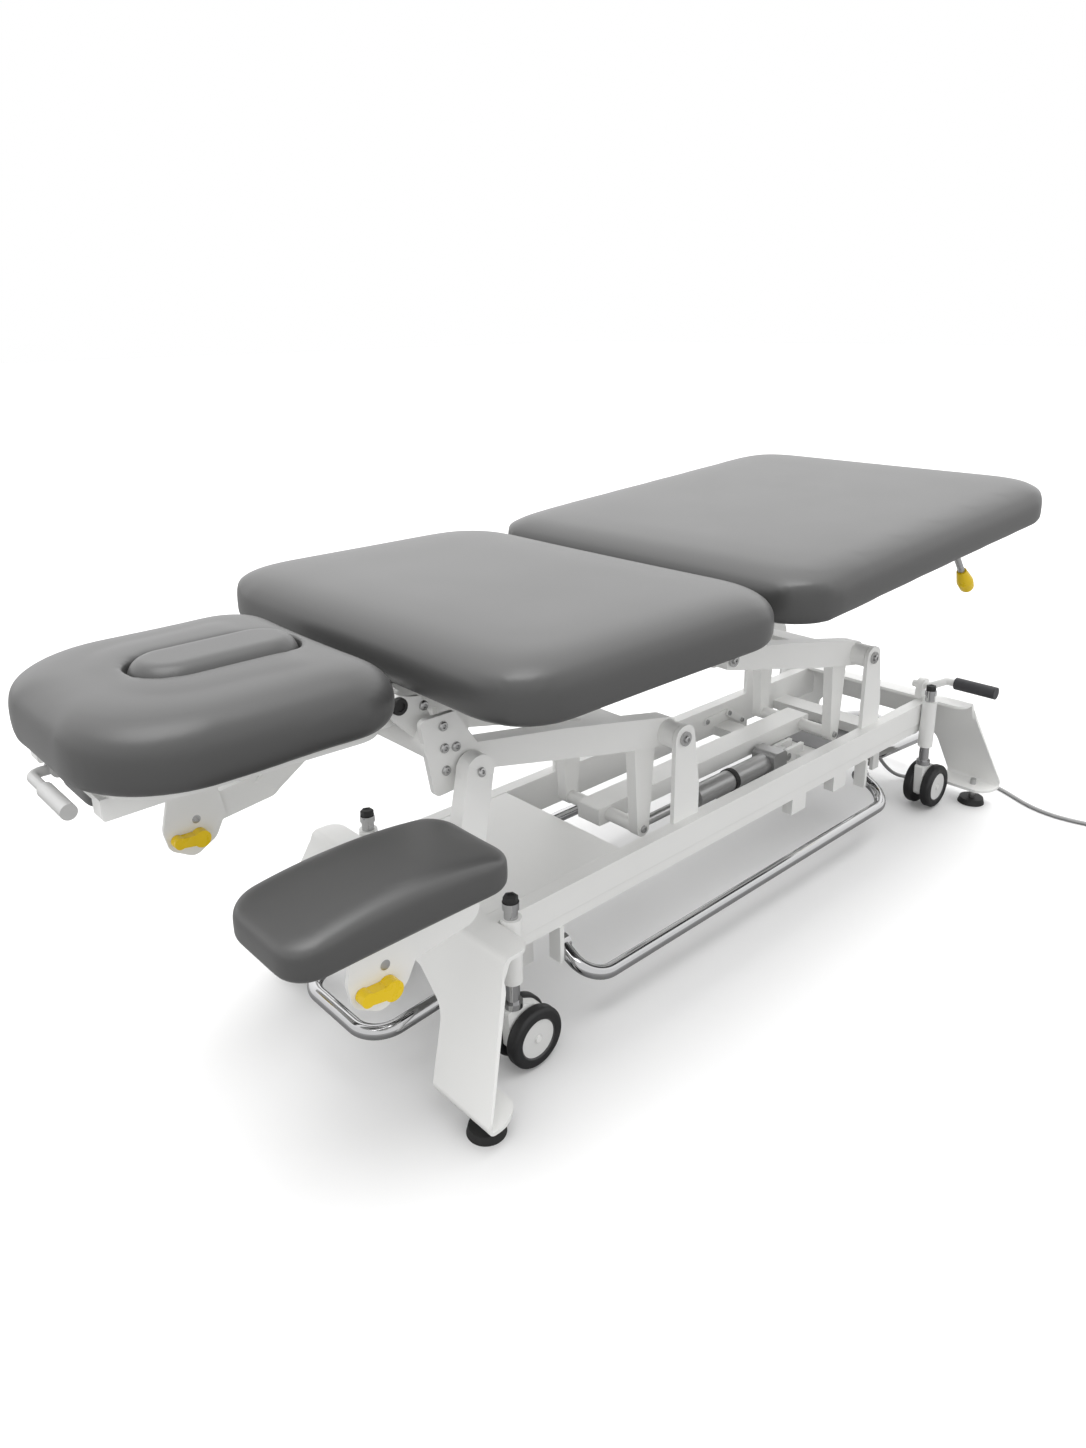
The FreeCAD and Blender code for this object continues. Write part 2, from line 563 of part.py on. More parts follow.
def lever_spot(pivot):
    return X0 + pivot - D.lever_back, D.pivot_high - D.lever_down


def swing_arm(end, pivot):
    """Two box arms with pivot bosses, a tie plate between them and two lever legs with a cross tube."""
    angle = math.radians(D.arm_angle)
    x = X0 + pivot
    tip_x, tip_z = arm_tip(pivot)

    def along(run, rise):
        return (x - run * math.cos(angle) + rise * math.sin(angle),
                D.pivot_high + run * math.sin(angle) + rise * math.cos(angle))

    half = D.arm_tall / 2
    end_run = D.arm_length + half * 0.8
    outline = [along(-half, half) + (half * 0.95,), along(end_run * 0.55, half) + (D.arm_blend,),
               along(end_run, half * 0.75) + (9,), along(end_run - 8, -half * 0.75) + (9,),
               along(end_run * 0.3, -half) + (D.arm_blend,), along(-half, -half) + (half * 0.95,)]
    fit = D.pin_wide / 2 + D.pin_fit
    bores = [hole(x, D.pivot_high, fit), hole(tip_x, tip_z, fit)]
    arm = prism(end + "_arm_box", "XZ", [rounded(outline)] + bores, "arm_wide", (0, -ARM_MIDDLE, 0))
    boss_deep = RAIL_INNER - D.side_gap - D.arm_outer
    boss = prism(end + "_arm_boss", "XZ", [hole(x, D.pivot_high, D.boss_wide / 2), bores[0]],
                 "rail_outer - rail_wide - side_gap - arm_outer", (0, -D.arm_outer - boss_deep / 2, 0))
    pin_x, pin_z = lever_spot(pivot)
    foot = D.lever_foot
    taper = [(pin_x - D.lever_top / 2, D.pivot_high - half * 0.4, 0),
             (pin_x + D.lever_top / 2, D.pivot_high - half * 0.4, 0),
             (pin_x + foot, pin_z - foot, foot * 0.95), (pin_x - foot, pin_z - foot, foot * 0.95)]
    lever = prism(end + "_lever_leg", "XZ", [rounded(taper)], "lever_thick", (0, -LEVER_MIDDLE, 0))
    tube = cylinder(end + "_lever_tube", "lever_tube", "2 * ( arm_outer - lever_in ) - lever_thick",
                    (pin_x, -LEVER_MIDDLE, pin_z), "Y")
    tie = [along(D.tie_from, half * 0.7), along(D.tie_from + D.tie_long, half * 0.7),
           along(D.tie_from + D.tie_long, half * 0.7 - D.tie_plate),
           along(D.tie_from, half * 0.7 - D.tie_plate)]
    plate = prism(end + "_tie_plate", "XZ", [rounded([spot + (0,) for spot in tie])],
                  "2 * arm_outer - arm_wide")
    near = fuse(end + "_near_arm", [arm, boss, lever])
    node(end + "_swing_arm", fuse(end + "_swing_arm", [near, mirrored(end + "_far_arm", near), tube, plate]))


def coupling_beam():
    front_x, pin_z = lever_spot(D.pivot_front)
    rear_x = lever_spot(D.pivot_rear)[0]
    half = D.beam_tall / 2
    outline = [(front_x - D.beam_over, pin_z - half, 3), (rear_x + D.beam_over, pin_z - half, 3),
               (rear_x + D.beam_over, pin_z + half, 3), (front_x - D.beam_over, pin_z + half, 3)]
    fit = D.lever_tube / 2 + D.pin_fit
    node("coupling_beam", prism("coupling_beam", "XZ",
                                [rounded(outline), hole(front_x, pin_z, fit), hole(rear_x, pin_z, fit)],
                                "beam_wide", (0, D.beam_y, 0)))


def lift_drive():
    rear = X0 + D.drive_rear
    gear_front = rear - D.motor_wide
    tube = cylinder("drive_tube", "drive_wide", "drive_rear - motor_wide - drive_nose",
                    (X0 + D.drive_nose, D.drive_y, D.drive_high), "X")
    half = D.motor_wide / 2
    gear = prism("drive_gearbox", "XZ", [rounded([(gear_front, D.drive_high - half, 10),
                                                  (rear - D.pin_wide * 1.2, D.drive_high - half, 10),
                                                  (rear - D.pin_wide * 1.2, D.drive_high + half * 0.8, 10),
                                                  (gear_front, D.drive_high + half * 0.8, 10)])],
                 "drive_wide + 12", (0, D.drive_y, 0))
    motor = cylinder("drive_motor", "drive_wide + 10", "motor_long",
                     (gear_front + 20 - D.motor_long, D.drive_y,
                      D.drive_high - D.drive_wide - D.motor_drop / 2), "X")
    eye = prism("drive_eye", "XZ", [rounded([(rear - D.pin_wide * 1.5, D.drive_high - D.pin_wide, 0),
                                             (rear + D.pin_wide, D.drive_high - D.pin_wide,
                                              D.pin_wide * 0.95),
                                             (rear + D.pin_wide, D.drive_high + D.pin_wide,
                                              D.pin_wide * 0.95),
                                             (rear - D.pin_wide * 1.5, D.drive_high + D.pin_wide, 0)]),
                                    hole(rear, D.drive_high, D.pin_wide / 2 + D.pin_fit)],
                "rod_wide", (0, D.drive_y, 0))
    housing = fuse("drive_housing_block", [tube, gear, motor, eye])
    bore = cylinder("drive_bore", "rod_wide + 2 * slide_fit", "drive_rear - motor_wide - drive_nose",
                    (X0 + D.drive_nose, D.drive_y, D.drive_high), "X")
    node("actuator_housing", cut("actuator_housing", housing, bore))
    tip_x = lever_spot(D.pivot_front)[0] + D.rod_short
    stroke_end = X0 + D.drive_rear - D.motor_wide - D.stroke_spare
    shaft = cylinder("drive_rod", "rod_wide", str(stroke_end - tip_x), (tip_x, D.drive_y, D.drive_high), "X")
    end = cylinder("drive_rod_end", "rod_wide + 8", "rod_wide",
                   (tip_x, D.drive_y - D.rod_wide / 2, D.drive_high), "Y")
    node("actuator_rod", fuse("actuator_rod", [shaft, end]))


# Top frame

def top_frame():
    parts = []
    reach = str(arm_tip(D.pivot_rear)[0] - X0 + D.lug_wide / 2 + D.frame_over - D.frame_head)
    for side, sign in SIDES.items():
        y = sign * D.frame_y
        parts.append(box("top_rail_" + side, reach, "frame_wide", "frame_tall",
                         (X0 + D.frame_head, y - D.frame_wide / 2, FRAME_BOTTOM)))
        for tag, pivot in (("front", D.pivot_front), ("rear", D.pivot_rear)):
            x, z = arm_tip(pivot)
            half = D.lug_wide / 2
            outline = [(x - half, FRAME_BOTTOM + 10, 0), (x + half, FRAME_BOTTOM + 10, 0),
                       (x + half * 0.8, z - half * 0.8, half * 0.75),
                       (x - half * 0.8, z - half * 0.8, half * 0.75)]
            bore = hole(x, z, D.pin_wide / 2 + D.pin_fit)
            centre = (0, sign * (D.frame_y + D.frame_wide / 2 - D.lug_thick / 2), 0)
            parts.append(prism("top_lug_%s_%s" % (tag, side), "XZ", [rounded(outline), bore], "lug_thick",
                               centre))
        drop = [(X0 + D.cross_tube_x - D.cross_tube * 0.6, D.cross_tube_z + D.cross_tube * 0.8, 8),
                (X0 + D.cross_tube_x + D.cross_tube * 0.6, D.cross_tube_z + D.cross_tube * 0.8, 8),
                (X0 + D.arm_pivot_x + D.cross_tube * 0.5, D.arm_pivot_z + D.cross_tube * 0.4, 14),
                (X0 + D.arm_pivot_x + D.cross_tube * 0.5, D.arm_pivot_z - D.cross_tube * 0.5, 14),
                (X0 + D.cross_tube_x - D.cross_tube * 0.2, D.arm_pivot_z - D.cross_tube * 0.6, 10)]
        bore = hole(X0 + D.arm_pivot_x, D.arm_pivot_z, D.pin_wide / 2 + D.pin_fit)
        parts.append(prism("drop_plate_" + side, "XZ", [rounded(drop), bore], "drop_thick",
                           (0, sign * (D.cross_half - D.drop_thick / 2), 0)))
        ear = [(X0 + D.hinge_x - D.hinge_wide / 2, D.hinge_z + D.hinge_wide / 2, D.hinge_wide * 0.45),
               (X0 + D.hinge_x + D.hinge_wide * 1.4, D.hinge_z + D.hinge_wide * 0.2, 6),
               (X0 + D.cross_tube_x + D.cross_tube * 0.4, D.cross_tube_z, 6),
               (X0 + D.cross_tube_x - D.cross_tube * 0.3, D.cross_tube_z, 6),
               (X0 + D.hinge_x - D.hinge_wide / 2, D.hinge_z - D.hinge_wide * 0.6, 8)]
        parts.append(prism("hinge_plate_" + side, "XZ", [rounded(ear)], "hinge_plate",
                           (0, sign * (D.hinge_half - D.hinge_plate / 2), 0)))
        knuckle = D.leg_hinge_wide
        ear = [(X0 + D.leg_hinge_x - knuckle * 2, FRAME_BOTTOM + 4, 0),
               (X0 + D.leg_hinge_x, FRAME_BOTTOM + 4, 6),
               (X0 + D.leg_hinge_x + knuckle * 0.8, D.leg_hinge_z + knuckle * 0.7, knuckle * 0.7),
               (X0 + D.leg_hinge_x - knuckle * 2, D.leg_hinge_z + knuckle * 0.7, 6)]
        parts.append(prism("leg_hinge_ear_" + side, "XZ", [rounded(ear)], "lug_thick",
                           (0, sign * (D.leg_tube_y - D.bar_wide / 2 - D.lug_thick), 0)))
    parts.append(cylinder("top_cross_tube", "cross_tube", "2 * cross_half",
                          (X0 + D.cross_tube_x, -D.cross_half, D.cross_tube_z), "Y"))
    parts.append(cylinder("head_hinge_tube", "hinge_wide", "2 * hinge_half",
                          (X0 + D.hinge_x, -D.hinge_half, D.hinge_z), "Y"))
    parts.append(cylinder("leg_hinge_rod", "leg_hinge_wide", "2 * leg_tube_y + bar_wide",
                          (X0 + D.leg_hinge_x, -D.leg_tube_y - D.bar_wide / 2, D.leg_hinge_z), "Y"))
    parts.append(box("top_cross_foot", "frame_wide", "2 * leg_tube_y - bar_wide - lug_thick",
                     "frame_tall / 2",
                     (X0 + D.leg_hinge_x - D.leg_hinge_wide * 2,
                      -D.leg_tube_y + D.bar_wide / 2 + D.lug_thick / 2,
                      FRAME_BOTTOM + 4)))
    node("top_frame", fuse("top_frame", parts))


def board(name, corners, inset, bottom, thick):
    centre_u = sum(corner[0] for corner in corners) / len(corners)
    shrunk = []
    for u, v, radius in corners:
        shrunk.append((u + inset if u < centre_u else u - inset, v + inset if v < 0 else v - inset,
                       max(radius - inset, inset)))
    return prism(name, "XY", [rounded(shrunk)], thick, (0, 0, bottom + float(sheet.get(thick)) / 2))


def middle_section():
    corners = corners_of(X0 + D.mid_head, X0 + D.mid_foot, D.half_wide, D.half_wide, D.corner, D.corner)
    node("mid_board", board("mid_board", corners, D.board_inset, D.frame_top, "board_thick"))
    node("mid_cushion", solid("mid_cushion", pillow(corners, MID_BOTTOM, D.cushion_tall, 1.0, D.draw_in)))


def stadium(long, wide):
    """Outline of the breathing hole, straight sides with round ends."""
    half = wide / 2
    left = X0 + D.hole_x - long / 2
    right = X0 + D.hole_x + long / 2
    return [(left, -half, half * 0.99), (right, -half, half * 0.99), (right, half, half * 0.99),
            (left, half, half * 0.99)]


def head_section():
    corners = corners_of(X0 + D.head_tip, X0 + D.head_root, D.head_tip_half, D.head_half, D.head_corner,
                         D.corner * 0.7)
    opening = prism("breathing_cut", "XY", [rounded(stadium(D.hole_long, D.hole_wide))], "3 * cushion_tall",
                    (0, 0, D.head_bottom))
    block = solid("head_cushion_block", pillow(corners, D.head_bottom, D.cushion_tall, 1.0, D.draw_in))
    node("head_cushion", cut("head_cushion", block, opening))
    plug = stadium(D.hole_long - 2 * D.plug_gap, D.hole_wide - 2 * D.plug_gap)
    sections = []
    for level, inset in ((0.0, 4.0), (0.5, 0.0), (0.86, 2.0), (0.97, 10.0), (1.0, 24.0)):
        shrunk = []
        for u, v, radius in plug:
            shrunk.append((u + inset if u < X0 + D.hole_x else u - inset, v + inset if v < 0 else v - inset,
                           radius - inset))
        wire = Part.Wire([edge.toShape() for edge in rounded(shrunk)])
        wire.translate(Vector(0, 0, D.head_bottom + level * (D.cushion_tall + D.plug_rise)))
        sections.append(wire)
    node("breathing_plug", solid("breathing_plug", Part.makeLoft(sections, True, False)))
    parts = [board("head_pan", corners, D.board_inset / 2, PAN_BOTTOM, "pan_thick")]
    for side, sign in SIDES.items():
        y = sign * D.bar_y
        left = X0 + D.head_tip + D.board_inset / 2
        hinge = X0 + D.hinge_x
        knuckle = D.hinge_wide / 2 + D.knuckle_wall * 0.7
        outline = [(left, BAR_BOTTOM, 4), (hinge + knuckle * 0.3, BAR_BOTTOM + 4, 12),
                   (hinge + knuckle, D.hinge_z - knuckle * 0.3, 8),
                   (hinge + knuckle, D.hinge_z + knuckle, knuckle * 0.9),
                   (hinge - knuckle, D.hinge_z + knuckle, knuckle * 0.9),
                   (hinge - knuckle - 2, PAN_BOTTOM, 4),
                   (left, PAN_BOTTOM, 0)]
        bore = hole(hinge, D.hinge_z, D.hinge_wide / 2 + D.knuckle_fit)
        parts.append(prism("head_bar_" + side, "XZ", [rounded(outline), bore], "bar_wide", (0, y, 0)))
    parts.append(box("head_cross_bar", "bar_wide", "2 * bar_y", "bar_tall",
                     (X0 + D.head_tip + D.board_inset / 2 + D.bar_wide / 2, -D.bar_y, BAR_BOTTOM)))
    slot = prism("head_pan_cut", "XY", [rounded(stadium(D.hole_long - D.hole_wide / 4, D.hole_wide * 0.7))],
                 "3 * cushion_tall", (0, 0, PAN_BOTTOM))
    node("head_frame", cut("head_frame", fuse("head_weldment", parts), slot))
    root = X0 + D.head_tip + D.board_inset / 2 + D.bar_wide / 2 - D.side_gap - D.handle_barrel / 2
    tip = X0 + D.handle_x
    stem = rod("head_handle_rod", [(root, D.handle_y, D.handle_z), (tip, D.handle_y, D.handle_z),
                                   (tip, D.handle_end, D.handle_z)], D.handle_rod, D.handle_rod)
    barrel = cylinder("head_handle_barrel", "handle_barrel", "2 * handle_rod",
                      (root, D.handle_y - D.handle_rod, D.handle_z), "Y")
    grip = cylinder("head_handle_grip", "handle_wide", "6 * handle_rod", (tip, D.handle_end, D.handle_z),
                    "Y")
    node("head_handle", fuse("head_handle", [stem, barrel, grip]))


def leg_pose():
    return Placement(Vector(), Rotation(Vector(0, 1, 0), -D.leg_tilt),
                     Vector(X0 + D.leg_hinge_x, 0, D.leg_hinge_z))


def tilted(part):
    part.Placement = leg_pose().multiply(part.Placement)
    return part


def leg_section():
    right = D.leg_root + D.leg_length
    corners = corners_of(X0 + D.leg_root, X0 + right, D.half_wide, D.leg_half, D.corner * 0.6, D.leg_corner)
    cushion = solid("leg_cushion", pillow(corners, MID_BOTTOM, D.cushion_tall, 1.0, D.draw_in))
    node("leg_cushion", tilted(cushion))
    node("leg_board", tilted(board("leg_board", corners, D.board_inset, D.frame_top, "board_thick")))
    parts = []
    hinge = X0 + D.leg_hinge_x
    knuckle = D.leg_hinge_wide / 2 + D.knuckle_wall * 0.6
    for side, sign in SIDES.items():
        outline = [(hinge - knuckle, D.leg_hinge_z + knuckle, knuckle * 0.9),
                   (hinge + knuckle * 1.5, D.frame_top, 3),
                   (X0 + D.leg_tube_end - D.bar_wide * 4, D.frame_top, 0),
                   (X0 + D.leg_tube_end - D.bar_wide * 4, LEG_TUBE_BOTTOM, 3), (hinge, LEG_TUBE_BOTTOM, 8),
                   (hinge - knuckle, D.leg_hinge_z - knuckle, knuckle * 0.6)]
        bore = hole(hinge, D.leg_hinge_z, D.leg_hinge_wide / 2 + D.knuckle_fit)
        parts.append(prism("leg_tube_" + side, "XZ", [rounded(outline), bore], "bar_wide",
                           (0, sign * D.leg_tube_y, 0)))
    for place, x in (("middle", (D.leg_root + right) / 2), ("foot", D.leg_tube_end - D.bar_wide * 5)):
        parts.append(box("leg_cross_" + place, "bar_wide", "2 * leg_tube_y", "bar_tall",
                         (X0 + x, -D.leg_tube_y, LEG_TUBE_BOTTOM)))
    node("leg_frame", tilted(fuse("leg_frame", parts)))
    barrel_z = LEG_TUBE_BOTTOM - D.lever_rod - D.cushion_gap
    lever_x = X0 + D.lever_x
    arm = rod("leg_lever_arm", [(lever_x - 40, D.lever_y, barrel_z), (lever_x, D.lever_y, barrel_z - 6),
                                (lever_x + 34, D.lever_y, barrel_z - 52)], D.lever_rod, 20)
    barrel = cylinder("leg_lever_barrel", "2 * lever_rod", "bar_wide",
                      (lever_x - 40, D.lever_y - D.bar_wide / 2, barrel_z), "Y")
    node("leg_lever", tilted(fuse("leg_lever", [arm, barrel])))
    half = D.bulb_wide / 2
    profile = [(0, 0, 0), (half * 0.6, 0, 2), (half, D.bulb_long * 0.55, 14),
               (half * 0.8, D.bulb_long, half * 0.7),
               (0, D.bulb_long, 0)]
    face = Part.Face(Part.Wire([edge.toShape() for edge in rounded(profile)]))
    face.rotate(Vector(), Vector(1, 0, 0), 90)
    bulb = face.revolve(Vector(), Vector(0, 0, 1), 360)
    slope = Rotation(Vector(0, 0, 1), Vector(34, 0, -46))
    seat = Placement(Vector(lever_x + 34, D.lever_y, barrel_z - 52), slope)
    node("leg_lever_knob", tilted(solid("leg_lever_knob", bulb, seat)))


# Armrests

def armrest(side, sign):
    plate_y = sign * D.plate_y
    band_y = plate_y + D.rest_plate / 2 + D.side_gap + D.carrier_wide / 2
    pivot = Vector(X0 + D.arm_pivot_x, sign * D.carrier_y, D.arm_pivot_z)
    elbow = Vector(X0 + D.elbow_x, band_y, D.elbow_z)
    end = (X0 + D.plate_x, D.plate_pivot_z)
    down = prism("carrier_lower_" + side, "XZ", [band([(elbow.x, elbow.z), end], D.carrier_tall)],
                 "carrier_wide",
                 (0, band_y, 0))
    run = elbow - pivot
    up = box("carrier_upper_" + side, str(run.Length), "carrier_wide", "carrier_tall", (0, 0, 0))
    turn = Rotation(run, Vector(0, 1, 0), Vector(), "XYZ")
    up.Placement = Placement(pivot + turn.multVec(Vector(0, -D.carrier_wide / 2, -D.carrier_tall / 2)), turn)
    eye = cylinder("carrier_eye_" + side, "carrier_tall", "carrier_wide",
                   (pivot.x, pivot.y - D.carrier_wide / 2, pivot.z), "Y")
    shaft = cylinder("carrier_shaft_" + side, "pin_wide", "rest_plate + side_gap + carrier_wide / 2",
                     (end[0], plate_y - D.rest_plate / 2, end[1]), "Y")
    stub_from = D.cross_half - D.drop_thick
    stub = cylinder("carrier_pivot_" + side, "pin_wide", str(D.carrier_y - stub_from),
                    (pivot.x, min(sign * stub_from, sign * D.carrier_y), pivot.z), "Y")
    node("armrest_carrier_" + side, fuse("armrest_carrier_" + side, [down, up, eye, shaft, stub]))
    x = X0 + D.plate_x
    top = REST_BOARD_BOTTOM
    radius = D.plate_radius
    nose = D.lock_z - D.plate_nose
    teardrop = [(x - radius * 0.7, top, 0), (x + radius * 0.7, top, 0),
                (x + radius, D.plate_pivot_z - 4, radius * 0.6),
                (x + radius * 0.6, nose + 14, radius * 0.5), (x - 8, nose - 6, radius * 0.4),
                (x - radius * 0.95, nose + 16, radius * 0.4),
                (x - radius * 1.1, D.plate_pivot_z - 4, radius * 0.6)]
    bores = [hole(x, D.plate_pivot_z, D.pin_wide / 2 + D.pin_fit),
             hole(x, D.lock_z, D.knob_small / 2 + D.pin_fit)]
    plate = prism("rest_plate_" + side, "XZ", [rounded(teardrop)] + bores, "rest_plate",
                  (0, sign * D.plate_y, 0))
    corners = corners_of(X0 + D.rest_x - D.rest_long / 2, X0 + D.rest_x + D.rest_long / 2, D.rest_half,
                         D.rest_half,
                         D.rest_half * 0.5, D.rest_half * 0.5)
    pan = board("rest_board_" + side, corners, D.plate_nose, top, "rest_board")
    pan.Placement.Base.y = sign * D.rest_y
    node("armrest_plate_" + side, fuse("armrest_plate_" + side, [plate, pan]))
    pad = solid("rest_pad_" + side, pillow(corners, D.rest_bottom, D.rest_tall, 0.55, D.draw_in / 2))
    left = X0 + D.rest_x - D.rest_long / 2
    right = left + D.rest_long
    crest = D.rest_bottom + D.rest_tall
    bow = Part.Arc(Vector(left, crest - D.rest_arch, 0), Vector((left + right) / 2, crest, 0),
                   Vector(right, crest - D.rest_arch, 0))
    foot = D.rest_bottom - 1
    sides = [(right, crest - D.rest_arch), (right, foot), (left, foot), (left, crest - D.rest_arch)]
    arch = prism("rest_arch_" + side, "XZ", [[bow] + [segment(a, b) for a, b in zip(sides, sides[1:])]],
                 "4 * rest_half")
    crown = common("armrest_cushion_" + side, [pad, arch])
    crown.Placement = Placement(Vector(0, sign * D.rest_y, 0), Rotation())
    node("armrest_cushion_" + side, crown)
    knob_face = sign * D.plate_y - D.rest_plate / 2 - D.cushion_gap
    big = cylinder("lock_big_" + side, "2 * knob_big", "knob_thick",
                   (x, knob_face - D.knob_thick, D.lock_z), "Y")
    small = cylinder("lock_small_" + side, "2 * knob_small", "knob_thick",
                     (x - D.knob_long + D.knob_big, knob_face - D.knob_thick, D.lock_z + 4), "Y")
    neck = [(x - D.knob_long + D.knob_big, D.lock_z + 4 - D.knob_small * 0.8, 0),
            (x, D.lock_z - D.knob_big * 0.7, 0),
            (x, D.lock_z + D.knob_big * 0.7, 0),
            (x - D.knob_long + D.knob_big, D.lock_z + 4 + D.knob_small * 0.8, 0)]
    bridge = prism("lock_bridge_" + side, "XZ", [rounded(neck)], "knob_thick",
                   (0, knob_face - D.knob_thick / 2, 0))
    shank = cylinder("lock_shank_" + side, "knob_small", "rest_plate + cushion_gap + 1",
                     (x, knob_face - 1, D.lock_z), "Y")
    node("armrest_lock_" + side, fuse("armrest_lock_" + side, [big, small, bridge, shank]))


# Foot controls

def foot_bars():
    lugs = []
    head_x = X0 - D.side_bar_head - D.bar_rod
    foot_x = X0 + D.side_bar_x - D.bar_rod
    for side, sign in SIDES.items():
        root_y = sign * D.bar_root_y
        out_y = sign * D.side_bar_y
        points = [(head_x, root_y, D.bar_root_z), (head_x, out_y, D.side_bar_z),
                  (foot_x, out_y, D.side_bar_z),
                  (foot_x, root_y, D.bar_root_z)]
        parts = [rod("side_bar_rod_" + side, points, D.bar_rod, D.bar_bend)]
        for tag, x in (("head", head_x), ("foot", foot_x)):
            parts.append(cylinder("side_bar_barrel_%s_%s" % (side, tag), "bar_rod + 4", "bar_rod",
                                  (x - D.bar_rod / 2, root_y, D.bar_root_z), "X"))
            lug_x = x - D.bar_rod / 2 - D.side_gap - D.lug_plate
            lugs.append(box("side_lug_%s_%s" % (side, tag), "lug_plate", "rail_wide",
                            "rail_bottom - bar_root_z + lug_reach",
                            (lug_x, min(sign * RAIL_INNER, sign * D.rail_outer),
                             D.bar_root_z - D.lug_reach)))
        node("foot_bar_" + side, fuse("foot_bar_" + side, parts))
    for end, sign in ENDS.items():
        root = X0 + sign * D.end_bar_root
        out = X0 + sign * D.end_bar_x
        high = D.bar_root_z - D.lug_reach
        points = [(root, -D.end_bar_y, high), (out, -D.end_bar_y, D.side_bar_z),
                  (out, D.end_bar_y, D.side_bar_z),
                  (root, D.end_bar_y, high)]
        parts = [rod("end_bar_rod_" + end, points, D.bar_rod, D.bar_bend)]
        for side, across in SIDES.items():
            y = across * D.end_bar_y
            parts.append(cylinder("end_bar_barrel_%s_%s" % (end, side), "bar_rod + 4", "bar_rod",
                                  (root, y - D.bar_rod / 2, high), "Y"))
            lug_y = y + across * (D.bar_rod / 2 + D.side_gap)
            lugs.append(box("end_lug_%s_%s" % (end, side), "rail_wide", "lug_plate",
                            "rail_bottom - bar_root_z + 2 * lug_reach",
                            (root - D.rail_wide / 2, min(lug_y, lug_y + across * D.lug_plate),
                             high - D.lug_reach)))
        node("foot_bar_" + end, fuse("foot_bar_" + end, parts))
    node("bar_lugs", group("bar_lugs", lugs))


def pedal():
    x = X0 + D.pedal_x
    out_x = x + D.pedal_reach
    grip_y = D.pedal_y - D.pedal_reach
    grip_z = D.pedal_z + D.pedal_rise
    points = [(x, D.pedal_y + 2 * D.block_thick, D.pedal_z), (x, D.pedal_y - 6, D.pedal_z),
              (out_x, grip_y - 6, grip_z), (out_x, grip_y - D.pedal_reach, grip_z)]
    node("pedal_arm", rod("pedal_arm", points, D.pedal_rod, 8))
    body = cylinder("pedal_grip_body", "grip_wide", "grip_long",
                    (out_x, grip_y - D.pedal_reach - D.grip_long, grip_z), "Y")
    node("pedal_grip", body)


def control_box():
    x = X0 + D.box_x
    top = D.rail_bottom
    block = box("control_box_block", "box_long", "box_wide", "box_tall",
                (x - D.box_long / 2, -D.box_wide / 2, top - D.box_tall))
    node("control_box", block)


# Mains lead

CORD_POINTS = [(530.6, -30, 145), (564, -31, 141), (598, -36, 116), (622, -44, 80), (644, -56, 42),
               (670, -73, 14),
               (702, -94, FLOOR_CORD), (744, -118, FLOOR_CORD), (780, -152, FLOOR_CORD),
               (799, -198, FLOOR_CORD),
               (797, -246, FLOOR_CORD), (777, -292, FLOOR_CORD), (753, -338, FLOOR_CORD),
               (742, -388, FLOOR_CORD),
               (748, -438, FLOOR_CORD), (764, -486, FLOOR_CORD), (790, -528, FLOOR_CORD)]
TURNS_IN = 3
TURNS_OUT = 3
LAYER_RISE = 1.16


def arc_through(start, along, end):
    """The arc that leaves start along a direction and ends at a point."""
    chord = end - start
    side = along.cross(chord).cross(along).normalize()
    angle = along.getAngle(chord)
    middle = start + chord / 2
    lift = chord.Length / 2 * math.tan(angle / 2)
    across = (along - chord * (along.dot(chord) / chord.dot(chord))).normalize()
    return Part.Arc(start, middle + across * lift, end), side


def biarc(start, start_along, end, end_along):
    """Two tangent arcs between two points with given directions."""
    gap = end - start
    total = start_along + end_along
    turn = 2 * (1 - start_along.dot(end_along))
    reach = (-gap.dot(total) + math.sqrt(gap.dot(total) ** 2 + turn * gap.dot(gap))) / turn
    joint = (start + end + (start_along - end_along) * reach) / 2
    first = arc_through(start, start_along, joint)[0]
    second = arc_through(end, end_along * -1, joint)[0]
    return [first.toShape(),
            Part.Arc(joint, second.value((second.FirstParameter + second.LastParameter) / 2), end).toShape()]


def coil_state(quarter):
    """Radius and height of the coil after so many quarter turns: in on the floor, up, then out on top."""
    step = D.coil_step / 4
    quarters_in = 4 * TURNS_IN
    outer = D.coil_radius + D.coil_step * (TURNS_IN - 1) / 2
    low = FLOOR_CORD
    high = FLOOR_CORD + D.cord_wide * LAYER_RISE
    if quarter <= quarters_in:
        return outer - step * quarter, low
    if quarter == quarters_in + 1:
        return outer - step * quarters_in, (low + high) / 2
    past = quarter - quarters_in - 2
    radius = outer - step * quarters_in + step * past
    leave = 4 * TURNS_OUT
    if past > leave:
        radius += D.coil_step * (past - leave)
    return radius, high


def coil_path(start, along):
    """Points and directions of the coil, entered along a direction on the floor."""
    left = Vector(along.y, -along.x, 0)
    outer = coil_state(0)[0]
    centre = start + left * outer
    first = math.atan2(-left.y, -left.x)
    quarters = 4 * (TURNS_IN + TURNS_OUT) + 4
    spots = []
    for quarter in range(quarters + 1):
        radius, height = coil_state(quarter)
        angle = first - quarter * math.pi / 2
        spots.append(Vector(centre.x + radius * math.cos(angle), centre.y + radius * math.sin(angle),
                            height))
    ways = [Vector(along.x, along.y, 0)]
    for index in range(1, quarters + 1):
        before = coil_state(index - 1)
        after = coil_state(min(index + 1, quarters))
        angle = first - index * math.pi / 2
        radius = coil_state(index)[0]
        rate = (after[0] - before[0]) / math.pi
        climb = (after[1] - before[1]) / math.pi
        way = Vector(math.sin(angle) * radius + math.cos(angle) * rate,
                     -math.cos(angle) * radius + math.sin(angle) * rate,
                     climb)
        ways.append(way.normalize())
    return spots, ways, centre


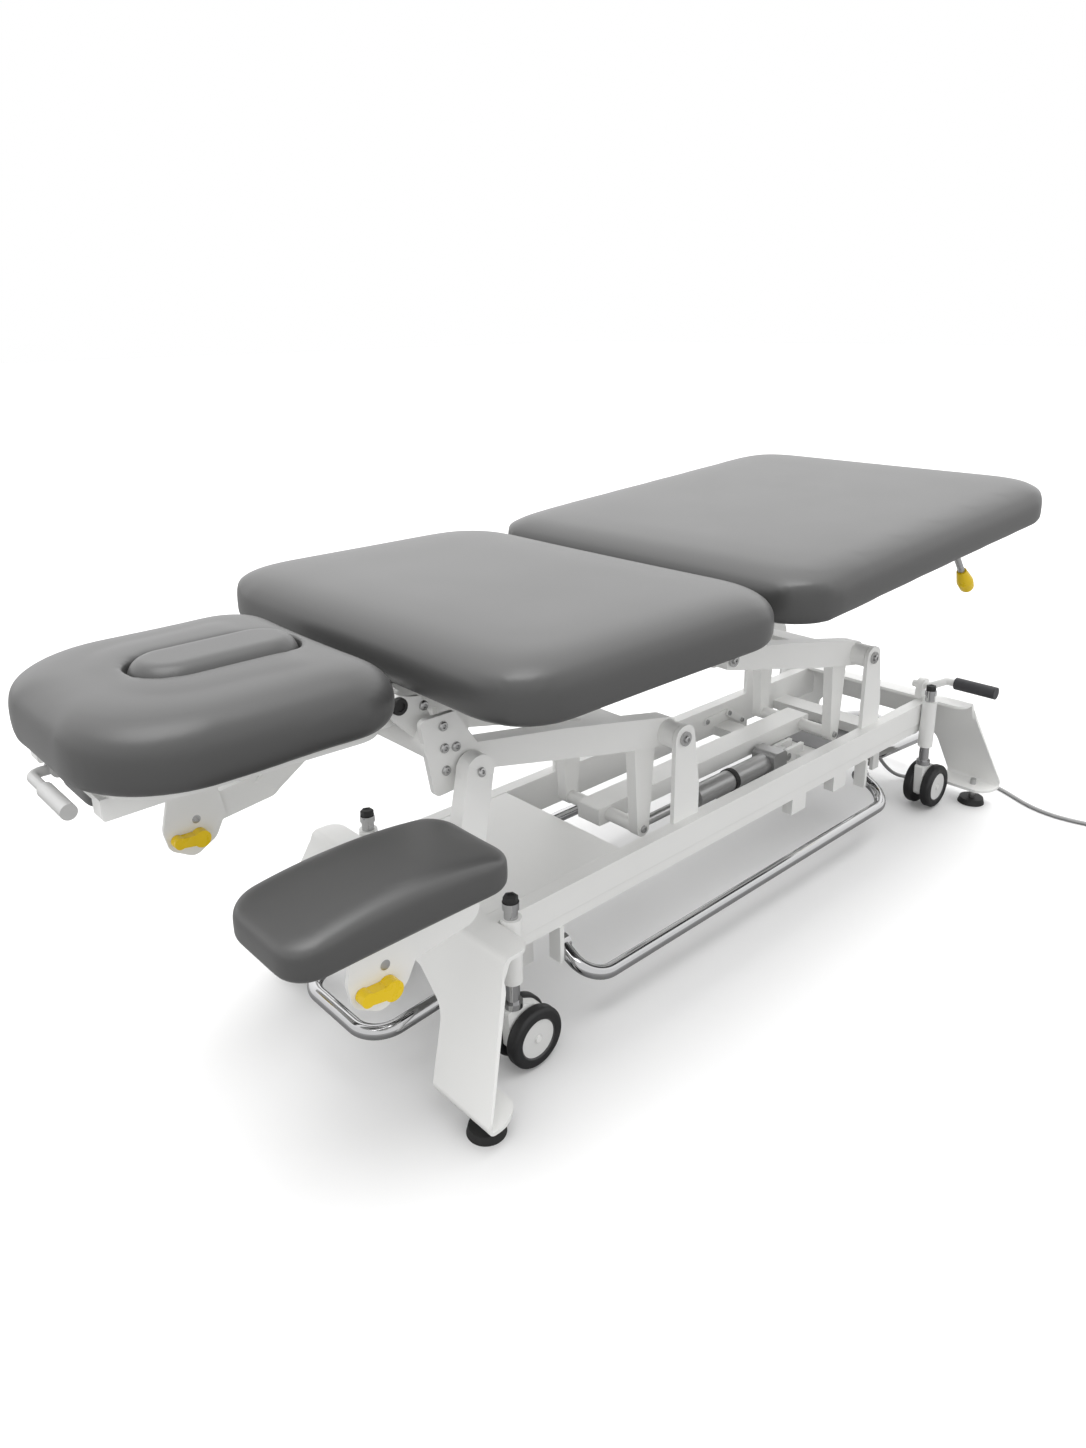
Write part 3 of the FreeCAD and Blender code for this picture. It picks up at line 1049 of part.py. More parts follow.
def mains_lead():
    points = [(X0 + x, y, z) for x, y, z in CORD_POINTS]
    wire, radii = route(points)
    print("cord radii", [round(radius) for radius in radii])
    cord = sweep(wire, D.cord_wide)
    print("cord volume over section times length",
          cord.Volume / (wire.Length * math.pi * D.cord_wide ** 2 / 4))
    node("mains_cord", solid("mains_cord", cord))
    start = Vector(*points[-1])
    along = (start - Vector(*points[-2])).normalize()
    spots, ways, centre = coil_path(start + along * D.cord_wide, along)
    edges = [Part.LineSegment(start, spots[0]).toShape()]
    for index in range(len(spots) - 1):
        edges += biarc(spots[index], ways[index], spots[index + 1], ways[index + 1])
    tail = spots[-1] + ways[-1] * D.cord_wide
    edges.append(Part.LineSegment(spots[-1], tail).toShape())
    coil_wire = Part.Wire(edges)
    coil = sweep(coil_wire, D.cord_wide)
    samples = coil_wire.discretize(Distance=4)
    least = min((samples[i] - samples[j]).Length for i in range(len(samples)) for j in range(i + 8,
                                                                                             len(samples)))
    print("coil least gap", least - D.cord_wide, "coil length", coil_wire.Length, "run length", wire.Length)
    node("mains_coil", solid("mains_coil", coil))
    node("mains_plug", mains_plug(tail, ways[-1]))
    gland = doc.addObject("Part::Cone", "cord_gland")
    gland.setExpression("Radius1", bound("gland_wide / 2"))
    gland.setExpression("Radius2", bound("cord_wide / 2 + 1"))
    gland.setExpression("Height", bound("gland_long"))
    gland.Placement = Placement(Vector(X0 + D.box_x + D.box_long / 2, points[0][1], points[0][2]),
                                AXIS_TURN["X"])
    node("cord_gland", gland)


def mains_plug(start, along):
    """Two-pin plug: a waisted moulding that grows from the cord, with two round pins."""
    flat = Vector(along.x, along.y, 0).normalize()
    turn = Rotation(Vector(1, 0, 0), flat)
    half = D.plug_wide / 2
    neck = D.cord_wide
    outline = [(0, -neck, 2), (D.plug_long * 0.45, -neck, 8), (D.plug_long * 0.7, -half, 6),
               (D.plug_long, -half, 3),
               (D.plug_long, half, 3), (D.plug_long * 0.7, half, 6), (D.plug_long * 0.45, neck, 8),
               (0, neck, 2)]
    body = prism("plug_body", "XY", [rounded(outline)], "2.6 * cord_wide")
    parts = [body]
    for side, sign in SIDES.items():
        parts.append(cylinder("plug_pin_" + side, "pin_round", "pin_long + 4",
                              (D.plug_long - 4, sign * D.pin_apart / 2, 0), "X"))
    plug = fuse("mains_plug", parts)
    plug.Placement = Placement(start, turn)
    return plug


def main():
    base_frame()
    for end, sign in ENDS.items():
        end_plate(end, sign)
    leveling_feet()
    cover_panel()
    pivot_fins()
    pivot_pins()
    caster_sleeves()
    for end, along in ENDS.items():
        for side, across in SIDES.items():
            caster(end, side, along, across)
    swing_arm("front", D.pivot_front)
    swing_arm("rear", D.pivot_rear)
    coupling_beam()
    lift_drive()
    top_frame()
    middle_section()
    head_section()
    leg_section()
    for side, sign in SIDES.items():
        armrest(side, sign)
    foot_bars()
    pedal()
    control_box()
    mains_lead()
    doc.recompute()
    for item in doc.Objects:
        if "Invalid" in item.State or "Error" in item.State:
            raise RuntimeError("failed object " + item.Name + " " + str(item.State))
    for item in NODES:
        if item.Shape.isNull() or not item.Shape.isValid():
            raise RuntimeError("bad shape " + item.Label)
    for item in NODES:
        item.Shape.exportStep("parts/%s.step" % item.Label)
    print(len(NODES), "nodes")


main()
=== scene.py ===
"""Treatment table: finishes, padding, mains lead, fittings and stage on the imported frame."""
import json
import math

import bmesh
import bpy
from bpy.props import FloatProperty, FloatVectorProperty, IntProperty, PointerProperty
from mathutils import Matrix, Vector, geometry


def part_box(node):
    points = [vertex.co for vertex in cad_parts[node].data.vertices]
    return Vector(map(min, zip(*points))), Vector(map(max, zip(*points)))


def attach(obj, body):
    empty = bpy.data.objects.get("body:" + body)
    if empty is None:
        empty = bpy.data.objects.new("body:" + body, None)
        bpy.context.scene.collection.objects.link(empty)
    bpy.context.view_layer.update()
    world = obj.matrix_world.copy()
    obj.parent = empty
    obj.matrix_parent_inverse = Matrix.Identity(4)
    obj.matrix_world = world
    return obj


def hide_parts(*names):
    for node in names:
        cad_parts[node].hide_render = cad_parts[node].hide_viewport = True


bl_info = {
    "name": "Treatment table",
    "version": (1, 0, 0),
    "blender": (4, 5, 0),
    "location": "3D View > Sidebar > Table",
    "description": "Builds the visual pieces of a height-adjustable treatment table",
    "category": "Object",
}

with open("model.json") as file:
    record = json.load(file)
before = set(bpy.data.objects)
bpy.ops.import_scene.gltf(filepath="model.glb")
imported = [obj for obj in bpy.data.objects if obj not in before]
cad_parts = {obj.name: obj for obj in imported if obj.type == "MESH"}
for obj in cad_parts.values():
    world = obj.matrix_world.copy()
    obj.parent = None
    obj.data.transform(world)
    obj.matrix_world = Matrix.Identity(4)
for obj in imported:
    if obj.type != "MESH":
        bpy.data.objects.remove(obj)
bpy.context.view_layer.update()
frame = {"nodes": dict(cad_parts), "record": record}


class TableSettings(bpy.types.PropertyGroup):
    vinyl: FloatVectorProperty(name="Vinyl", description="Colour of the cushion covers", subtype="COLOR",
                               default=(0.055, 0.055, 0.0545), min=0, max=1)
    enamel: FloatVectorProperty(name="Enamel", description="Colour of the powder-coated steel",
                                subtype="COLOR", default=(0.88, 0.88, 0.865), min=0, max=1)
    signal: FloatVectorProperty(name="Knobs", description="Colour of the release knobs", subtype="COLOR",
                                default=(0.9, 0.62, 0.002), min=0, max=1)
    floor: FloatVectorProperty(name="Floor", description="Colour of the studio floor", subtype="COLOR",
                               default=(0.9, 0.9, 0.9), min=0, max=1)
    voxel: FloatProperty(name="Pad mesh", description="Voxel size of the padding before it is inflated",
                         default=0.0075, min=0.004, max=0.02, unit="LENGTH")
    swell: FloatProperty(name="Pad swell", description="How far the padding may swell", default=0.007, min=0,
                         max=0.03, unit="LENGTH")
    slack: FloatProperty(name="Pad slack", description="Share of the inflated form against the cut form",
                         default=0.12, min=0, max=1)
    pressure: FloatProperty(name="Pad pressure", description="Pressure inside the padding", default=4.0,
                            min=0, max=20)
    steps: IntProperty(name="Pad steps", description="Frames that the padding is inflated for", default=20,
                       min=1, max=60)
    screw: FloatProperty(name="Screws", description="Radius of the domed socket screws", default=0.0065,
                         min=0.003, max=0.012, unit="LENGTH")
    cord: FloatProperty(name="Cord", description="Diameter of the mains cord", default=0.008, min=0.004,
                        max=0.015, unit="LENGTH")


# Finishes

# Sockets of the mix node when it mixes colours
MIX_FACTOR = 0
MIX_FIRST = 6
MIX_SECOND = 7
MIX_RESULT = 2


def blank_finish(name):
    """A material with its tree, its shader and the object coordinates."""
    material = bpy.data.materials.new(name)
    material.use_nodes = True
    tree = material.node_tree
    coords = tree.nodes.new("ShaderNodeTexCoord")
    return material, tree, tree.nodes["Principled BSDF"], coords.outputs["Object"]


def mapped(tree, source, scale=(1, 1, 1), location=(0, 0, 0)):
    made = tree.nodes.new("ShaderNodeMapping")
    made.inputs["Scale"].default_value = scale
    made.inputs["Location"].default_value = location
    tree.links.new(source, made.inputs["Vector"])
    return made.outputs["Vector"]


def noise(tree, source, scale, detail=4.0):
    made = tree.nodes.new("ShaderNodeTexNoise")
    made.inputs["Scale"].default_value = scale
    made.inputs["Detail"].default_value = detail
    made.inputs["Roughness"].default_value = 0.55
    tree.links.new(source, made.inputs["Vector"])
    return made.outputs["Fac"]


def cells(tree, source, scale):
    made = tree.nodes.new("ShaderNodeTexVoronoi")
    made.feature = "DISTANCE_TO_EDGE"
    made.inputs["Scale"].default_value = scale
    tree.links.new(source, made.inputs["Vector"])
    return made.outputs["Distance"]


def waves(tree, source, way, scale, distortion):
    made = tree.nodes.new("ShaderNodeTexWave")
    made.bands_direction = way
    made.inputs["Scale"].default_value = scale
    made.inputs["Distortion"].default_value = distortion
    tree.links.new(source, made.inputs["Vector"])
    return made.outputs["Fac"]


def graded(tree, source, low, high, start, end):
    """The source mapped from start..end to low..high."""
    made = tree.nodes.new("ShaderNodeMapRange")
    made.inputs["From Min"].default_value = start
    made.inputs["From Max"].default_value = end
    made.inputs["To Min"].default_value = low
    made.inputs["To Max"].default_value = high
    tree.links.new(source, made.inputs["Value"])
    return made.outputs["Result"]


def scaled(colour, factor):
    return tuple(min(1.0, value * factor) for value in colour)


def tinted(tree, shader, factor, colour, dark, light):
    """Base colour between a darker and a lighter share of one colour."""
    made = tree.nodes.new("ShaderNodeMix")
    made.data_type = "RGBA"
    made.inputs[MIX_FIRST].default_value = (*scaled(colour, dark), 1)
    made.inputs[MIX_SECOND].default_value = (*scaled(colour, light), 1)
    tree.links.new(factor, made.inputs[MIX_FACTOR])
    tree.links.new(made.outputs[MIX_RESULT], shader.inputs["Base Color"])


def glossed(tree, shader, factor, smooth, rough, start=0.3, end=0.7):
    """Roughness that goes from smooth to rough as the factor goes from start to end."""
    tree.links.new(graded(tree, factor, smooth, rough, start, end), shader.inputs["Roughness"])


def bumped(tree, shader, height, strength, depth):
    made = tree.nodes.new("ShaderNodeBump")
    made.inputs["Strength"].default_value = strength
    made.inputs["Distance"].default_value = depth
    tree.links.new(height, made.inputs["Height"])
    tree.links.new(made.outputs["Normal"], shader.inputs["Normal"])


def surface(name, colour, rough, metal=0.0, mottle=0.06, patch=12.0, grain=900.0, bump=0.08, depth=0.0003,
            spread=0.06, stretch=(1, 1, 1)):
    """A finish with slow colour patches, uneven gloss and a fine grain."""
    material, tree, shader, coords = blank_finish(name)
    slow = noise(tree, coords, patch)
    fine = noise(tree, mapped(tree, coords, stretch), grain, detail=3.0)
    tinted(tree, shader, slow, colour, 1 - mottle, 1 + mottle)
    glossed(tree, shader, slow, rough - spread, rough + spread)
    shader.inputs["Metallic"].default_value = metal
    bumped(tree, shader, fine, bump, depth)
    return material


PORE_SHARE = 0.35


def vinyl_finish(colour):
    """Smooth upholstery vinyl: a leather-like pebble with pores, slow tone and a soft sheen."""
    material, tree, shader, coords = blank_finish("cushion_vinyl")
    slow = noise(tree, coords, 5.0, detail=3.0)
    pebble = graded(tree, cells(tree, coords, 620.0), 0.0, 1.0, start=0.0, end=0.12)
    pores = noise(tree, coords, 1500.0, detail=2.0)
    tinted(tree, shader, slow, colour, 0.98, 1.02)
    glossed(tree, shader, slow, 0.385, 0.415)
    height = tree.nodes.new("ShaderNodeMath")
    height.operation = "MULTIPLY_ADD"
    height.inputs[1].default_value = PORE_SHARE
    tree.links.new(pores, height.inputs[0])
    tree.links.new(pebble, height.inputs[2])
    bumped(tree, shader, height.outputs[0], strength=0.12, depth=0.00015)
    shader.inputs["Sheen Weight"].default_value = 0.06
    shader.inputs["Sheen Roughness"].default_value = 0.4
    shader.inputs["Specular IOR Level"].default_value = 0.75
    return material


# A wheel's rings from the axle outward: axle cap, hub, rim and tyre, each from a share of the reach on
WHEEL_REACH = 0.05
WHEEL_RINGS = [(0.0, (0.7, 0.7, 0.69)), (0.16, (0.76, 0.76, 0.75)), (0.585, (0.05, 0.05, 0.052)),
               (0.62, (0.013, 0.013, 0.014))]


def wheel_finish(name, centre):
    """Black tyre and white hub, set by the distance from the axle."""
    material, tree, shader, coords = blank_finish(name)
    length = tree.nodes.new("ShaderNodeVectorMath")
    length.operation = "LENGTH"
    tree.links.new(mapped(tree, coords, (1, 0, 1), (-centre.x, 0, -centre.z)), length.inputs[0])
    ramp = tree.nodes.new("ShaderNodeValToRGB")
    ramp.color_ramp.interpolation = "CONSTANT"
    stops = ramp.color_ramp.elements
    for index, (place, colour) in enumerate(WHEEL_RINGS):
        stop = stops[index] if index < len(stops) else stops.new(place)
        stop.position = place
        stop.color = (*colour, 1)
    tree.links.new(graded(tree, length.outputs["Value"], 0.0, 1.0, 0.0, WHEEL_REACH), ramp.inputs["Fac"])
    tree.links.new(ramp.outputs["Color"], shader.inputs["Base Color"])
    glossed(tree, shader, noise(tree, coords, 40.0), 0.38, 0.6)
    bumped(tree, shader, noise(tree, coords, 700.0), strength=0.1, depth=0.0003)
    return material


def ribbed_finish(name, colour, pitch):
    """Rubber grip with rings along its length."""
    material, tree, shader, coords = blank_finish(name)
    tone = noise(tree, coords, 60.0)
    tinted(tree, shader, tone, colour, 0.85, 1.15)
    glossed(tree, shader, tone, 0.5, 0.7)
    bumped(tree, shader, waves(tree, coords, "Y", pitch, distortion=0.0), strength=0.5, depth=0.0006)
    return material


def plywood_finish(name, colour):
    """Sealed plywood: long grain and ply lines through the thickness."""
    material, tree, shader, coords = blank_finish(name)
    grain = noise(tree, mapped(tree, coords, (6, 90, 90)), 3.0, detail=6.0)
    both = tree.nodes.new("ShaderNodeMath")
    both.operation = "MULTIPLY"
    tree.links.new(grain, both.inputs[0])
    tree.links.new(waves(tree, coords, "Z", 60.0, distortion=0.4), both.inputs[1])
    tinted(tree, shader, both.outputs[0], colour, 0.7, 1.15)
    glossed(tree, shader, grain, 0.55, 0.75, start=0.0, end=1.0)
    bumped(tree, shader, grain, strength=0.15, depth=0.0004)
    return material


FINISHES = {}
SLOT_FINISH = {"white_paint": "enamel", "grey_vinyl": "vinyl", "chrome": "chrome", "zinc_steel": "zinc",
               "black_rubber": "rubber", "dark_grip": "grip", "yellow_plastic": "knob",
               "white_plastic": "fork", "grey_plastic": "moulding", "cord_grey": "cord", "plywood": "plywood"}
OWN_FINISH = {"head_handle": "handle", "actuator_housing": "drive"}
WHEELS = "caster_wheels_"


class TABLE_OT_finishes(bpy.types.Operator):
    """Give every frame node its finish"""
    bl_idname = "treatment_table.finishes"
    bl_label = "Finishes"

    def execute(self, context):
        values = context.scene.treatment_table
        enamel = tuple(values.enamel)
        FINISHES.update({
            "vinyl": vinyl_finish(tuple(values.vinyl)),
            "enamel": surface("white_enamel", enamel, 0.36, mottle=0.025, patch=7.0, grain=650.0, bump=0.06,
                              spread=0.05),
            "chrome": surface("bright_chrome", (0.5, 0.5, 0.505), 0.09, metal=1.0, mottle=0.03, patch=20.0,
                              grain=300.0, bump=0.02, depth=0.0002, spread=0.03),
            "zinc": surface("zinc_steel", (0.5, 0.5, 0.5), 0.32, metal=1.0, mottle=0.08, patch=60.0,
                            grain=500.0, depth=0.0002, spread=0.08, stretch=(1, 8, 8)),
            "rubber": surface("black_rubber", (0.018, 0.018, 0.018), 0.62, mottle=0.2, patch=50.0,
                              grain=600.0, bump=0.15),
            "knob": surface("yellow_knob", tuple(values.signal), 0.3, mottle=0.04, patch=40.0, grain=500.0,
                            bump=0.04),
            "fork": surface("white_moulding", scaled(enamel, 0.98), 0.4, mottle=0.03, patch=30.0,
                            grain=420.0),
            "moulding": surface("grey_moulding", (0.19, 0.19, 0.195), 0.48, mottle=0.08, patch=30.0,
                                grain=800.0, bump=0.14),
            "drive": surface("brushed_alloy", (0.42, 0.42, 0.42), 0.36, metal=0.7, patch=40.0, grain=300.0,
                             bump=0.1, depth=0.0002, stretch=(1, 20, 20)),
            "handle": surface("handle_coat", (0.5, 0.5, 0.495), 0.42, patch=30.0, grain=700.0),
            "cord": surface("cord_sheath", (0.33, 0.33, 0.33), 0.5, mottle=0.05, patch=30.0, grain=500.0,
                            bump=0.06),
            "grip": ribbed_finish("pedal_grip_rubber", (0.05, 0.05, 0.055), pitch=28.0),
            # Painted shade: the boards' near-black colour stands in for the shadow in the gap under the
            # cushions
            "plywood": plywood_finish("plywood_dark_for_shade", (0.06, 0.058, 0.056)),
        })
        slots = {part["node"]: part["material_slot"] for part in frame["record"]["subparts"]}
        for name, item in frame["nodes"].items():
            if name.startswith(WHEELS):
                low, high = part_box(name)
                finish = wheel_finish("wheel_" + name[len(WHEELS):], (Vector(low) + Vector(high)) / 2)
            else:
                finish = FINISHES[OWN_FINISH.get(name, SLOT_FINISH[slots[name]])]
            item.data.materials.clear()
            item.data.materials.append(finish)
        return {"FINISHED"}


# Modelling helpers

FACING = 0.999


def clamped(value):
    return max(0.0, min(1.0, value))


def span(points):
    """The low and the high corner of some points."""
    low = Vector([min(point[axis] for point in points) for axis in range(3)])
    high = Vector([max(point[axis] for point in points) for axis in range(3)])
    return low, high


def only(item):
    """Select one object alone and make it active."""
    bpy.ops.object.select_all(action="DESELECT")
    item.select_set(True)
    bpy.context.view_layer.objects.active = item


def applied(item, kind, **settings):
    """Add a modifier with its settings to the active object and apply it."""
    made = item.modifiers.new(kind.title(), kind)
    for name, value in settings.items():
        setattr(made, name, value)
    bpy.ops.object.modifier_apply(modifier=made.name)


def pick(item, wanted):
    """Select the faces that a test names, in edit mode."""
    shape = bmesh.from_edit_mesh(item.data)
    for face in shape.faces:
        face.select_set(False)
    for face in shape.faces:
        if wanted(face):
            face.select_set(True)
    shape.select_flush(True)
    bmesh.update_edit_mesh(item.data)


def settle(item, name, body, finish, angle=35.0):
    """Name a finished piece, put its place in its mesh, dress it and let it ride on its body."""
    only(item)
    bpy.ops.object.transform_apply(location=True, rotation=True, scale=True)
    bpy.ops.object.shade_smooth_by_angle(angle=math.radians(angle))
    item.name = name
    item.data.name = name
    item.data.materials.clear()
    item.data.materials.append(FINISHES[finish])
    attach(item, body)
    return item


# Padding

class Pad:
    """A cushion in place of a frame node: a block of its size if a corner is given, or else its own form.

    fill is not used. cap and coarse are shares of the swell and of the voxel size, and turns is
    how often the top and the sides are smoothed.
    corner, roll and lean are the block's corner radius, its top edge's radius and its slope in degrees.
    """

    def __init__(self, node, body, fill, cap, coarse, turns, edge=0.0, arch=0.0, corner=0.0, roll=0.0,
                 lean=0.0):
        self.node = node
        self.body = body
        self.fill = fill
        self.cap = cap
        self.coarse = coarse
        self.turns = turns
        self.edge = edge
        self.arch = arch
        self.corner = corner
        self.roll = roll
        self.lean = lean


PADS = [Pad("mid_cushion", "top", fill=0.85, cap=1.0, coarse=1.0, turns=60, corner=0.066, roll=0.036),
        Pad("leg_cushion", "leg", fill=0.85, cap=1.0, coarse=1.0, turns=60, corner=0.085, roll=0.036,
            lean=-3.6),
        Pad("head_cushion", "head", fill=0.85, cap=0.7, coarse=0.8, turns=25, edge=0.005),
        Pad("breathing_plug", "plug", fill=0.8, cap=0.4, coarse=0.6, turns=6)]
PADS += [Pad("armrest_cushion_" + side, "rest_" + side, fill=0.85, cap=0.7, coarse=0.7, turns=4, arch=0.016,
             corner=0.038, roll=0.017) for side in ("near", "far")]
BASE_ROLL = 0.0165
UPRIGHT = 0.001
WELD = 0.00002


def cut_block(source, corner, roll, lean):
    """A block as big as a node, with round corners and rolled edges, leant as the node is."""
    turn = Matrix.Rotation(math.radians(lean), 4, "Y")
    low, high = span([turn.inverted() @ vertex.co for vertex in source.data.vertices])
    bpy.ops.object.select_all(action="DESELECT")
    bpy.ops.mesh.primitive_cube_add(size=1, location=(low + high) / 2)
    item = bpy.context.active_object
    item.scale = high - low
    bpy.ops.object.transform_apply(location=True, rotation=True, scale=True)
    bpy.ops.object.mode_set(mode="EDIT")
    bpy.ops.mesh.select_mode(type="EDGE")
    shape = bmesh.from_edit_mesh(item.data)
    for edge in shape.edges:
        edge.select_set(False)
    for edge in shape.edges:
        if abs(edge.verts[0].co.z - edge.verts[1].co.z) > UPRIGHT:
            edge.select_set(True)
    bmesh.update_edit_mesh(item.data)
    bpy.ops.mesh.bevel(offset=corner, segments=8, affect="EDGES")
    bpy.ops.mesh.select_mode(type="FACE")
    for way, offset in ((1, roll), (-1, BASE_ROLL)):
        pick(item, lambda face: face.normal.z * way > FACING)
        bpy.ops.mesh.bevel(offset=offset, segments=5, affect="EDGES")
    bpy.ops.object.mode_set(mode="OBJECT")
    item.data.transform(turn)
    return item


def raw_pad(pad, source, voxel):
    """The pad's first form, closed and evenly meshed."""
    if pad.corner:
        item = cut_block(source, pad.corner, pad.roll, pad.lean)
    else:
        item = bpy.data.objects.new(pad.node + "_pad", source.data.copy())
        bpy.context.scene.collection.objects.link(item)
    only(item)
    bpy.ops.object.mode_set(mode="EDIT")
    bpy.ops.mesh.select_all(action="SELECT")
    bpy.ops.mesh.remove_doubles(threshold=WELD)
    bpy.ops.mesh.normals_make_consistent(inside=False)
    bpy.ops.object.mode_set(mode="OBJECT")
    item.data.remesh_voxel_size = voxel * pad.coarse
    bpy.ops.object.voxel_remesh()
    return item


SECTORS = 120
SECTOR_TURNS = 3
RIM = 0.7


def fill_waist(item):
    """Fill the hollows of a pad's outline, so that it is straight or bulges all round."""
    points = [vertex.co for vertex in item.data.vertices]
    low, high = span(points)
    middle_x = (low.x + high.x) / 2
    middle_y = (low.y + high.y) / 2
    aways = [Vector((point.x - middle_x, point.y - middle_y)) for point in points]
    turns = [math.atan2(away.y, away.x) / (2 * math.pi) % 1 * SECTORS for away in aways]
    outer = [Vector((0, 0)) for sector in range(SECTORS)]
    for away, turn in zip(aways, turns):
        sector = int(turn) % SECTORS
        if away.length > outer[sector].length:
            outer[sector] = away
    hull = [outer[index] for index in geometry.convex_hull_2d(outer)]
    stretch = []
    for spot in outer:
        reach = spot.length
        for first, second in zip(hull, hull[1:] + hull[:1]):
            meet = geometry.intersect_line_line_2d(Vector((0, 0)), spot.normalized(), first, second)
            if meet:
                reach = max(reach, meet.length)
        stretch.append(reach / spot.length)
    for repeat in range(SECTOR_TURNS):
        stretch = [(stretch[index - 1] + stretch[index] + stretch[(index + 1) % SECTORS]) / 3
                   for index in range(SECTORS)]
    for point, away, turn in zip(points, aways, turns):
        sector = int(turn - 0.5) % SECTORS
        part = (turn - 0.5) % 1
        grow = stretch[sector] * (1 - part) + stretch[(sector + 1) % SECTORS] * part
        rim = clamped((away.length / outer[int(turn) % SECTORS].length - RIM) / (1 - RIM))
        point.x = middle_x + away.x * (1 + (grow - 1) * rim)
        point.y = middle_y + away.y * (1 + (grow - 1) * rim)


HOLE_ROOM = 0.02


def fill_edges(item, edge):
    """Push the rolled edges out, as firm foam does; the flats and the breathing hole stay."""
    hole = frame["nodes"]["breathing_plug"]
    low, high = span([hole.matrix_world @ Vector(corner) for corner in hole.bound_box])
    moves = []
    for vertex in item.data.vertices:
        flat = math.hypot(vertex.normal.x, vertex.normal.y)
        share = (2 * flat * abs(vertex.normal.z)) ** 2
        beside = low.x - HOLE_ROOM < vertex.co.x < high.x + HOLE_ROOM
        if beside and abs(vertex.co.y) < high.y + HOLE_ROOM:
            share = 0.0
        moves.append(vertex.normal * edge * share)
    for vertex, move in zip(item.data.vertices, moves):
        vertex.co += move


def bow(item, arch):
    """Let a pad's top fall away towards both its ends."""
    points = [vertex.co for vertex in item.data.vertices]
    low, high = span(points)
    for point in points:
        away = (2 * point.x - low.x - high.x) / (high.x - low.x)
        point.z -= arch * away ** 2 * (point.z - low.z) / (high.z - low.z)


FREE_ABOVE = 0.012
HELD_BELOW = 0.008
SHRINK = 0.6


def inflate(item, values, cap):
    """Blow the pad up as cloth from a slightly smaller start, and blend the result into the cut form."""
    mesh = item.data
    shell = [vertex.co.copy() for vertex in mesh.vertices]
    low = min(point.z for point in shell)
    inward = [vertex.normal.copy() for vertex in mesh.vertices]
    for vertex, normal in zip(mesh.vertices, inward):
        if vertex.co.z > low + FREE_ABOVE:
            vertex.co -= normal * cap * SHRINK
    start = [vertex.co.copy() for vertex in mesh.vertices]
    held = item.vertex_groups.new(name="underside")
    held.add([vertex.index for vertex in mesh.vertices if vertex.co.z < low + HELD_BELOW], 1.0, "REPLACE")
    cloth = item.modifiers.new("Inflate", "CLOTH")
    cloth.settings.use_pressure = True
    cloth.settings.uniform_pressure_force = values.pressure
    cloth.settings.effector_weights.gravity = 0
    cloth.settings.vertex_group_mass = "underside"
    cloth.settings.quality = 4
    scene = bpy.context.scene
    for step in range(1, values.steps + 1):
        scene.frame_set(step)
    only(item)
    bpy.ops.object.modifier_apply(modifier=cloth.name)
    scene.frame_set(1)
    for vertex, before in zip(mesh.vertices, start):
        move = vertex.co - before
        if move.length > cap:
            vertex.co = before + move * (cap / move.length)
    for vertex, outside in zip(mesh.vertices, shell):
        vertex.co = outside.lerp(vertex.co, values.slack)
    item.vertex_groups.clear()


# Where two sections close on each other: the line between them, and the half widths where the hold eases off
CLOSING = ((-0.552, 0.265, 0.35), (-0.018, 0.4, 0.5))
CLOSE_BY = 0.05
FAR_OFF = 0.22
BLOCK_HOLD = 0.45


def ramp_down(value, start, end):
    """One up to the start, nothing from the end on."""
    return clamped((end - value) / (end - start))


def hold_back(item, source, least):
    """Draw a pad back to its node's own form, fully where two sections close on each other."""
    for vertex in item.data.vertices:
        share = least
        for line, inner, outer in CLOSING:
            near = ramp_down(abs(vertex.co.x - line), CLOSE_BY, FAR_OFF)
            share = max(share, near * ramp_down(abs(vertex.co.y), inner, outer))
        if share > 0:
            hit, place, normal, face = source.closest_point_on_mesh(vertex.co)
            if hit and (vertex.co - place).dot(normal) > 0:
                vertex.co = vertex.co.lerp(place, share)


CROWN_GAIN = 4
CROWN_OFFSET = 2.6
LAST_TURNS = 4


def smooth_out(item, turns):
    """Smooth a pad's top, its sides and then all of it, and refine its mesh."""
    crown = item.vertex_groups.new(name="crown")
    side = item.vertex_groups.new(name="side")
    for vertex in item.data.vertices:
        crown.add([vertex.index], clamped(vertex.normal.z * CROWN_GAIN - CROWN_OFFSET), "REPLACE")
        side.add([vertex.index], clamped(1 - 2 * abs(vertex.normal.z)), "REPLACE")
    for group, repeats in (("crown", turns), ("side", turns), ("", LAST_TURNS)):
        applied(item, "SMOOTH", factor=0.5, iterations=repeats, vertex_group=group)
    item.vertex_groups.clear()
    applied(item, "SUBSURF", levels=1, render_levels=1)


class TABLE_OT_padding(bpy.types.Operator):
    """Put soft cushions in place of their plain solids"""
    bl_idname = "treatment_table.padding"
    bl_label = "Cushions"

    def execute(self, context):
        values = context.scene.treatment_table
        for pad in PADS:
            source = frame["nodes"][pad.node]
            item = raw_pad(pad, source, values.voxel)
            if pad.node == "head_cushion":
                fill_waist(item)
            fill_edges(item, pad.edge)
            bow(item, pad.arch)
            inflate(item, values, values.swell * pad.cap)
            if pad.node in ("mid_cushion", "head_cushion", "leg_cushion"):
                hold_back(item, source, BLOCK_HOLD if pad.corner else 0.0)
            smooth_out(item, pad.turns)
            settle(item, pad.node + "_pad", pad.body, "vinyl", 180.0)
            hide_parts(pad.node)
        return {"FINISHED"}


# Mains lead

